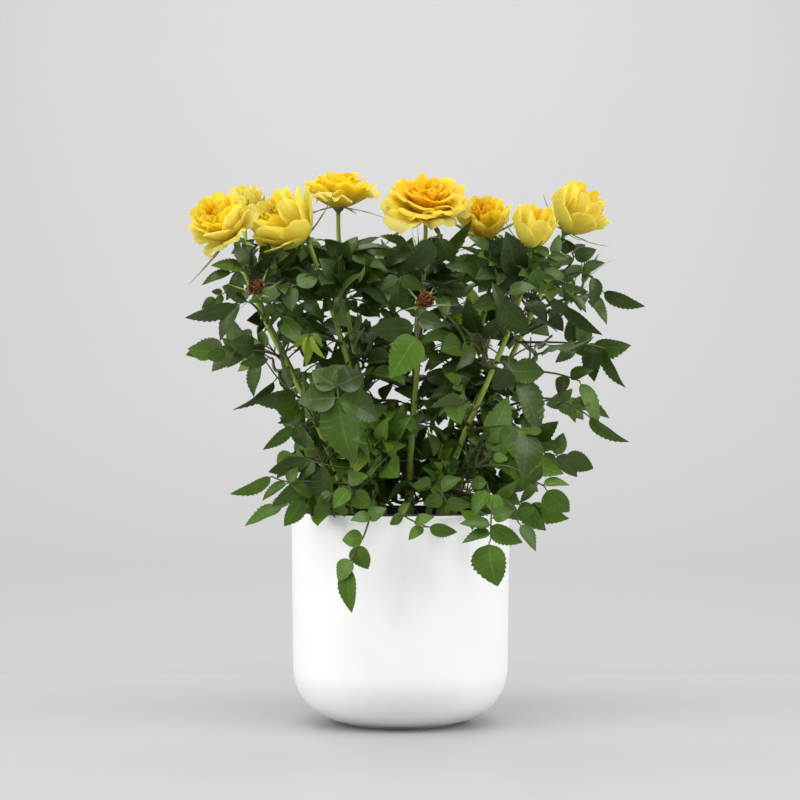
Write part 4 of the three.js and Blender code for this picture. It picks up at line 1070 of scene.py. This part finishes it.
# Sprays that stand out of the crown: the cane that each leaves, at what height, the depth that it lies at,
# and the x and z of its stem. A leaflet is told by the x and z of its root and of its tip, its width as
# seen from the front, and its tone, from 0, the deepest, to 4.
sprays = {
    "leftSpray": ("left_front", 218, -42, ((-81, 222), (-93, 221), (-110, 221)), (
        (-109, 221, -124, 221, 10, 3), (-102, 221, -112, 216, 8, 2), (-97, 221, -102, 229, 5, 2),
        (-93, 221, -98, 213, 5, 1), (-89, 221, -92, 230, 4, 1), (-84, 221, -89, 213, 6, 1))),
    "leftPointed": ("left_front", 240, -45, ((-87, 251), (-96, 249)), ((-96, 249, -126, 236, 9, 1),
        (-93, 249, -110, 229, 9, 1), (-90, 250, -96, 260, 7, 1), (-89, 250, -105, 258, 6, 1))),
    "leftLow": ("left_front", 165, -50, ((-58, 181), (-63, 178)), ((-62, 177, -78, 164, 7, 2),
        (-60, 178, -56, 164, 10, 1))),
    "leftSkirt": ("mid_left", 140, -62, ((-49, 147), (-65, 145), (-74, 149)), ((-74, 149, -94, 135, 6, 3),
        (-65, 145, -82, 138, 6, 2), (-63, 145, -60, 155, 7, 2), (-56, 146, -73, 131, 9, 2),
        (-58, 146, -58, 137, 7, 2))),
    "leftDark": ("mid_left", 150, -60, ((-43, 155), (-54, 159)), ((-54, 159, -76, 150, 10, 1),
        (-45, 156, -42, 124, 14, 1), (-49, 157, -58, 148, 8, 1))),
    "threeLeft": ("mid_left", 215, -86, ((-36, 204), (-35, 194)), ((-35, 193, -31, 157, 20, 2),
        (-36, 194, -58, 194, 17, 1), (-35, 194, -10, 183, 21, 1), (-36, 200, -50, 210, 14, 1),
        (-36, 201, -19, 209, 15, 0))),
    "pairCentre": ("centre", 238, -84, ((9, 242), (9, 231)), ((9, 229, -5, 206, 21, 3),
        (8, 234, -17, 232, 13, 1), (10, 239, 24, 235, 14, 0))),
    "underBloom": ("centre", 272, -62, ((13, 283), (17, 286)), ((18, 285, 4, 264, 15, 0),
        (22, 286, 30, 269, 11, 1))),
    "centreHigh": ("centre", 262, -66, ((0, 264), (-1, 260)), ((-1, 260, -1, 244, 11, 1),
        (0, 263, 13, 256, 9, 1), (-1, 262, -14, 259, 8, 0))),
    "rightHigh": ("mid_right", 255, -62, ((62, 256), (57, 249)), ((57, 248, 73, 230, 14, 1),
        (59, 252, 44, 247, 11, 1), (62, 255, 75, 260, 9, 1), (80, 269, 73, 254, 9, 2))),
    "rightFar": ("right", 262, -16, ((105, 270), (114, 266), (120, 257)), ((120, 257, 142, 244, 7, 1),
        (114, 266, 115, 248, 9, 1), (109, 269, 119, 275, 7, 1))),
    "rightArch": ("right", 228, -20, ((96, 227), (109, 226), (119, 224)), ((120, 224, 127, 196, 6, 2),
        (114, 225, 112, 205, 12, 0), (106, 227, 113, 232, 5, 1), (103, 227, 94, 215, 9, 1))),
    "rightBright": ("right", 212, -22, ((92, 209), (106, 204)), ((106, 203, 122, 178, 11, 3),
        (100, 206, 111, 212, 8, 1), (98, 207, 93, 196, 9, 1))),
    "rightLow": ("right", 185, -26, ((85, 196), (103, 189), (110, 184)), ((111, 183, 130, 164, 7, 2),
        (104, 188, 112, 192, 5, 2), (100, 190, 102, 180, 5, 2), (94, 193, 101, 198, 6, 2))),
    "rightFront": ("mid_right", 215, -82, ((60, 214), (66, 205)), ((66, 204, 85, 175, 14, 1),
        (64, 209, 81, 209, 14, 1), (62, 210, 53, 198, 12, 0))),
    "rightLower": ("mid_right", 175, -82, ((63, 179), (71, 175)), ((72, 174, 71, 150, 17, 1),
        (68, 176, 82, 180, 11, 2), (65, 177, 56, 167, 10, 1))),
    "rightSkirt": ("mid_right", 150, -55, ((60, 157), (74, 148), (83, 143)), ((84, 141, 97, 126, 13, 3),
        (82, 144, 98, 147, 7, 3), (79, 144, 68, 134, 7, 2), (76, 146, 81, 154, 6, 2))),
    "hangingRight": ("mid_right", 140, -82, ((55, 137), (51, 130), (51, 114)), ((50, 112, 51, 87, 17, 3),
        (51, 122, 34, 124, 8, 2), (51, 118, 35, 114, 8, 2), (51, 122, 68, 111, 12, 3),
        (52, 126, 63, 131, 8, 2))),
    "hangingPale": ("mid_right", 138, -74, ((63, 137), (67, 123)), ((68, 122, 78, 108, 9, 2),
        (66, 127, 76, 131, 7, 3))),
    "hangingLeft": ("mid_left", 138, -84, ((-16, 134), (-19, 119), (-25, 108), (-30, 99)), (
        (-30, 99, -30, 73, 10, 3), (-28, 103, -36, 91, 10, 3), (-25, 111, -20, 96, 11, 3),
        (-21, 115, -34, 114, 11, 3), (-18, 125, -9, 133, 8, 2), (-17, 127, -27, 127, 8, 2))),
    "sprig": ("centre", 136, -80, ((-1, 129), (7, 124), (15, 121)), ((16, 121, 32, 117, 7, 3),
        (13, 121, 4, 115, 6, 3), (8, 123, 17, 128, 6, 3), (2, 127, -7, 123, 7, 2), (0, 128, 4, 135, 6, 2))),
    "skirtCentre": ("centre", 140, -76, ((22, 143), (26, 136)), ((26, 135, 39, 132, 8, 2),
        (24, 138, 13, 133, 9, 2), (23, 142, 33, 149, 8, 2))),
    "skirtLeft": ("mid_left", 142, -76, ((-31, 147), (-28, 141)), ((-27, 140, -17, 132, 10, 2),
        (-29, 142, -38, 133, 9, 3), (-30, 146, -20, 151, 9, 2))),
    "skirtRight": ("mid_right", 142, -76, ((48, 149), (50, 141)), ((50, 139, 58, 129, 9, 3),
        (50, 141, 39, 129, 9, 3), (49, 146, 38, 145, 9, 2))),
    "leftHigh": ("left_front", 262, -52, ((-58, 260), (-68, 257)), ((-68, 256, -88, 251, 10, 2),
        (-60, 259, -48, 264, 10, 2), (-63, 258, -64, 245, 10, 1))),
    "youngCluster": ("mid_left", 226, -58, ((-50, 232), (-53, 230)), ((-53, 230, -58, 215, 4, 4),
        (-53, 229, -53, 212, 5, 4), (-52, 230, -47, 216, 4, 4), (-53, 231, -62, 223, 4, 4),
        (-51, 231, -44, 225, 4, 3))),
    "skirtFarLeft": ("mid_left", 134, -58, ((-45, 140), (-56, 136)), ((-56, 136, -66, 119, 10, 3),
        (-52, 137, -46, 122, 9, 2), (-48, 139, -38, 128, 9, 3), (-50, 138, -63, 146, 9, 2))),
    "skirtFarRight": ("right", 134, -52, ((48, 139), (58, 136)), ((58, 136, 68, 122, 9, 3),
        (53, 137, 46, 124, 9, 2), (56, 137, 67, 144, 8, 3))),
    "leftTop": ("left_front", 258, -46, ((-89, 269), (-98, 267)), ((-98, 267, -115, 261, 7, 1),
        (-93, 268, -100, 251, 8, 1), (-91, 269, -108, 274, 8, 2), (-90, 271, -94, 283, 7, 1))),
    "underLeft": ("centre_left", 262, -34, ((-32, 271), (-30, 279)), ((-29, 280, -1, 285, 5, 1),
        (-30, 278, -8, 272, 9, 1), (-31, 277, -47, 286, 9, 0), (-30, 278, -27, 291, 8, 1),
        (-32, 274, -48, 270, 8, 2))),
    "underRight": ("centre_right", 258, -40, ((53, 271), (52, 279)), ((51, 280, 41, 289, 8, 1),
        (52, 279, 64, 286, 9, 0), (53, 276, 70, 273, 9, 1), (52, 275, 36, 272, 9, 1))),
    "underFar": ("right", 262, -12, ((104, 275), (102, 281)), ((102, 281, 95, 288, 8, 1),
        (103, 280, 110, 286, 7, 0), (103, 278, 117, 281, 8, 1), (103, 277, 90, 274, 8, 1))),
    "leftMiddle": ("left_front", 192, -46, ((-62, 196), (-72, 206), (-78, 215)), (
        (-81, 214, -90, 195, 10, 1), (-60, 196, -83, 190, 12, 1), (-73, 204, -95, 183, 5, 1),
        (-77, 217, -93, 213, 6, 1), (-64, 199, -68, 213, 7, 0))),
    "crestLeft": ("centre_left", 268, -18, ((-33, 275), (-29, 282)), ((-35, 272, -44, 288, 12, 0),
        (-36, 271, -56, 283, 9, 0), (-26, 278, -1, 284, 9, 1), (-28, 282, -13, 290, 6, 0))),
    "crestUnder": ("centre", 268, -28, ((11, 276), (4, 285)), ((4, 283, -10, 292, 7, 0),
        (7, 280, -16, 275, 12, 1), (14, 277, 24, 291, 9, 0), (16, 275, 36, 288, 12, 0),
        (17, 274, 44, 294, 7, 1))),
    "crestRight": ("centre_right", 262, -24, ((59, 274), (62, 280)), ((61, 278, 49, 287, 8, 0),
        (62, 279, 72, 285, 8, 0), (60, 273, 79, 277, 11, 0))),
    "skirtRim": ("mid_left", 142, -70, ((-40, 137), (-38, 139)), ((-42, 137, -48, 124, 8, 2),
        (-37, 138, -32, 126, 7, 2), (-39, 139, -50, 134, 7, 1))),
    "rightInner": ("right", 236, -30, ((91, 248), (97, 244)), ((95, 248, 117, 230, 8, 1),
        (89, 244, 94, 233, 8, 0), (100, 244, 84, 252, 6, 1))),
    "rightCentre": ("mid_right", 232, -70, ((54, 250), (56, 246)), ((56, 250, 72, 233, 13, 1),
        (54, 250, 41, 246, 10, 1), (57, 245, 54, 259, 7, 0))),
}


# Rounds the corners of a line three times over, then takes points along it at even steps.
def roundedLine(points, count=16):
    for again in range(3):
        cut = np.stack([mix(points[:-1], points[1:], 0.25), mix(points[:-1], points[1:], 0.75)], axis=1)
        points = np.concatenate([points[:1], cut.reshape(-1, 3), points[-1:]])
    gone = np.append(0, np.cumsum(np.linalg.norm(np.diff(points, axis=0), axis=1)))
    return np.stack([np.interp(np.linspace(0, gone[-1], count), gone, column) for column in points.T], -1)


# A leaflet seen much narrower than it is stands turned about its midrib by the angle whose cosine is that
# share.
def growSpray(index, told):
    rng = seeded(3000 + index)
    carrier, start, depth, stemPoints, told = told
    point = caneAt(canes[carrier], start)[0]
    stem = roundedLine(np.array([point, *[(x, depth, z) for x, z in stemPoints]]))
    stems.append(stem)
    for x0, z0, x1, z1, width, tone in told:
        root = np.array([x0, depth - 0.5, z0])
        way = np.array([x1, depth + rng.uniform(-9, 6), z1]) - root
        length = np.linalg.norm(way)
        way = way / length
        seen = width / length / leaf["widthShare"]
        broad = float(np.clip(seen * 1.15, 0.6, 1.3))
        facing = squareTo(way, np.array([0, -1.0, 0.15]))
        angle = math.acos(min(seen / broad, 1)) * rng.choice([-1, 1])
        links.append([stem[np.argmin(np.linalg.norm(stem - root, axis=1))], root])
        addLeaflet(tones[tone], root, way, turned(facing, way, angle), length, broad)


for index, told in enumerate(sprays.values()):
    growSpray(index, told)
for index, c in enumerate(canes.values()):
    growCane(index, c)
for index, mass in enumerate(masses.values()):
    if "leaves" in mass:
        growMass(index, mass)
print(f"{len(stalks)} leaves and {len(sprays)} sprays are grown, with {len(middles)} leaflets")


# Leaflets' grids. Half-width over length is s^0.58 (1-s)^1.02, scaled to the leaf's width, with teeth that
# lean forward at every second row. The halves fold up from the midrib, and the blade arches down along its
# length.
def leafletGrids(group, rng):
    roots, ways, normals, length, broad = [np.array(column)[:, None, None] for column in zip(*group)]
    rows = leaf["rows"]

    def spread(low, high):
        return rng.uniform(low, high, (len(group), 1, 1))

    s = np.linspace(0.0, 1, rows)[None, :, None]
    u = np.array([-1, 0, 1.0])[None, None, :]
    tooth = np.where(np.arange(rows) % 2, 1, -1)[None, :, None] * np.sin(np.pi * s)
    wide = s ** 0.58 * (1 - s) ** 1.02 / 0.351 * 0.5 + 0.008
    wide = wide * (1 + 0.055 * tooth) * leaf["widthShare"] * broad * spread(0.9, 1.12)
    fold = np.radians(spread(8, 30))
    arch = spread(0.15, 0.8)
    twist = spread(-0.25, 0.25) * s
    wave = 0.05 * np.sin(2 * np.pi * 1.6 * s + spread(0, 6.28)) * np.abs(u)
    x = wide * u * np.cos(fold)
    y = s * (1 - (arch * s) ** 2 / 6) + 0.015 * tooth * np.abs(u) + 0.03
    z = wide * np.abs(u) * np.sin(fold) + wave * wide + x * np.sin(twist) - arch * s * s / 2
    parts = (np.cross(ways, normals), x), (ways, y), (normals, z)
    return roots + sum(way * (length * share)[..., None] for way, share in parts)


# Leaf skin: a dark glossy front with pale veins, and a dull pale back. Side veins leave the midrib at a
# slant.
def leafSkin(name, front, back, gloss, through):
    finish = Finish(name)
    across, along, isBack = finish.sheetPlace()
    beside = abs(across)
    slant = (along * 44 - beside * 9).sine()
    rib = 1 - finish.mapped(beside, 0.0, 0.10)
    veins = finish.mapped(slant, 0.80, 1.0) * (1 - beside * 0.8)
    tone = np.array(front)
    blade = finish.blend(slant * 0.08 + finish.noise(90, 3), tuple(tone * 0.72), tuple(tone * 1.28))
    ribbed = finish.blend(veins * 0.18 + rib * 0.55, blade, tuple(tone * 1.8 + 0.02))
    under = finish.blend(veins * 0.35 + rib * 0.5, back, tuple(np.array(back) * 1.5))
    bumps = slant * -0.3 - rib * 1.4, 0.0001, 0.5
    colour = finish.blend(isBack, ribbed, under)
    return finish.shader(colour, isBack * 0.25 + gloss, bumps, 0.27, through, (*tone * [2.4, 2.6, 1.2], 1))


def addLeaves():
    rng = seeded(77)
    for tone, skin in skins.items():
        bunch = Bunch()
        addSheets(bunch, leafletGrids(leaflets[tone], rng), leaf["thickness"])
        addPiece(tone, bunch, leafSkin(f"{tone}Skin", *skin), 80, sheet=True)
    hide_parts(*[f"foliage_{name}" for name in masses])


# Twigs and leaf stalks are tubes along their lines. A shoot's foot runs back into what carries it.
def addTwigs():
    wood, green = Bunch(), Bunch()
    shoots = [[mass["root"], *mass["line"]] for mass in masses.values() if "leaves" in mass]
    addTubes(wood, shoots, np.linspace(shoot["baseRadius"], shoot["tipRadius"], 26), 7)
    lines, thick, thin = zip(*twigs)
    addTubes(wood, lines, np.linspace(thick, thin, 9, axis=1), 6)
    addTubes(wood, sideStems, np.linspace(1.0, 0.8, 16), 7)
    addTubes(green, stalks, np.linspace(1.3, 0.75, 6) * leaf["stalkRadius"], 5)
    addTubes(green, stems, np.linspace(0.95, 0.45, 16), 6)
    addTubes(green, links, 0.4, 5)
    feet = [(root - way * 0.3, root + way * length * 0.08)
            for group in leaflets.values() for root, way, normal, length, broad in group]
    addTubes(green, feet, leaf["stalkRadius"] * 0.7, 4)
    addPiece("twigs", wood, freshGreen("twigGreen", (0.07, 0.10, 0.03), (0.15, 0.17, 0.05)), 70)
    brown = freshGreen("stalkBrown", (0.052, 0.060, 0.022), (0.105, 0.112, 0.038))
    addPiece("leafStalks", green, brown, 70)


addLeaves()
addTwigs()
sepalGreen = leafSkin("sepalGreen", (0.09, 0.17, 0.035), (0.18, 0.26, 0.09), 0.45, 0.12)
addPiece("sepals", sepals, sepalGreen, 80, sheet=True)
addPiece("hips", hips, freshGreen("hipGreen", (0.12, 0.21, 0.045), (0.22, 0.33, 0.08)), 70)
print("the foliage is made")
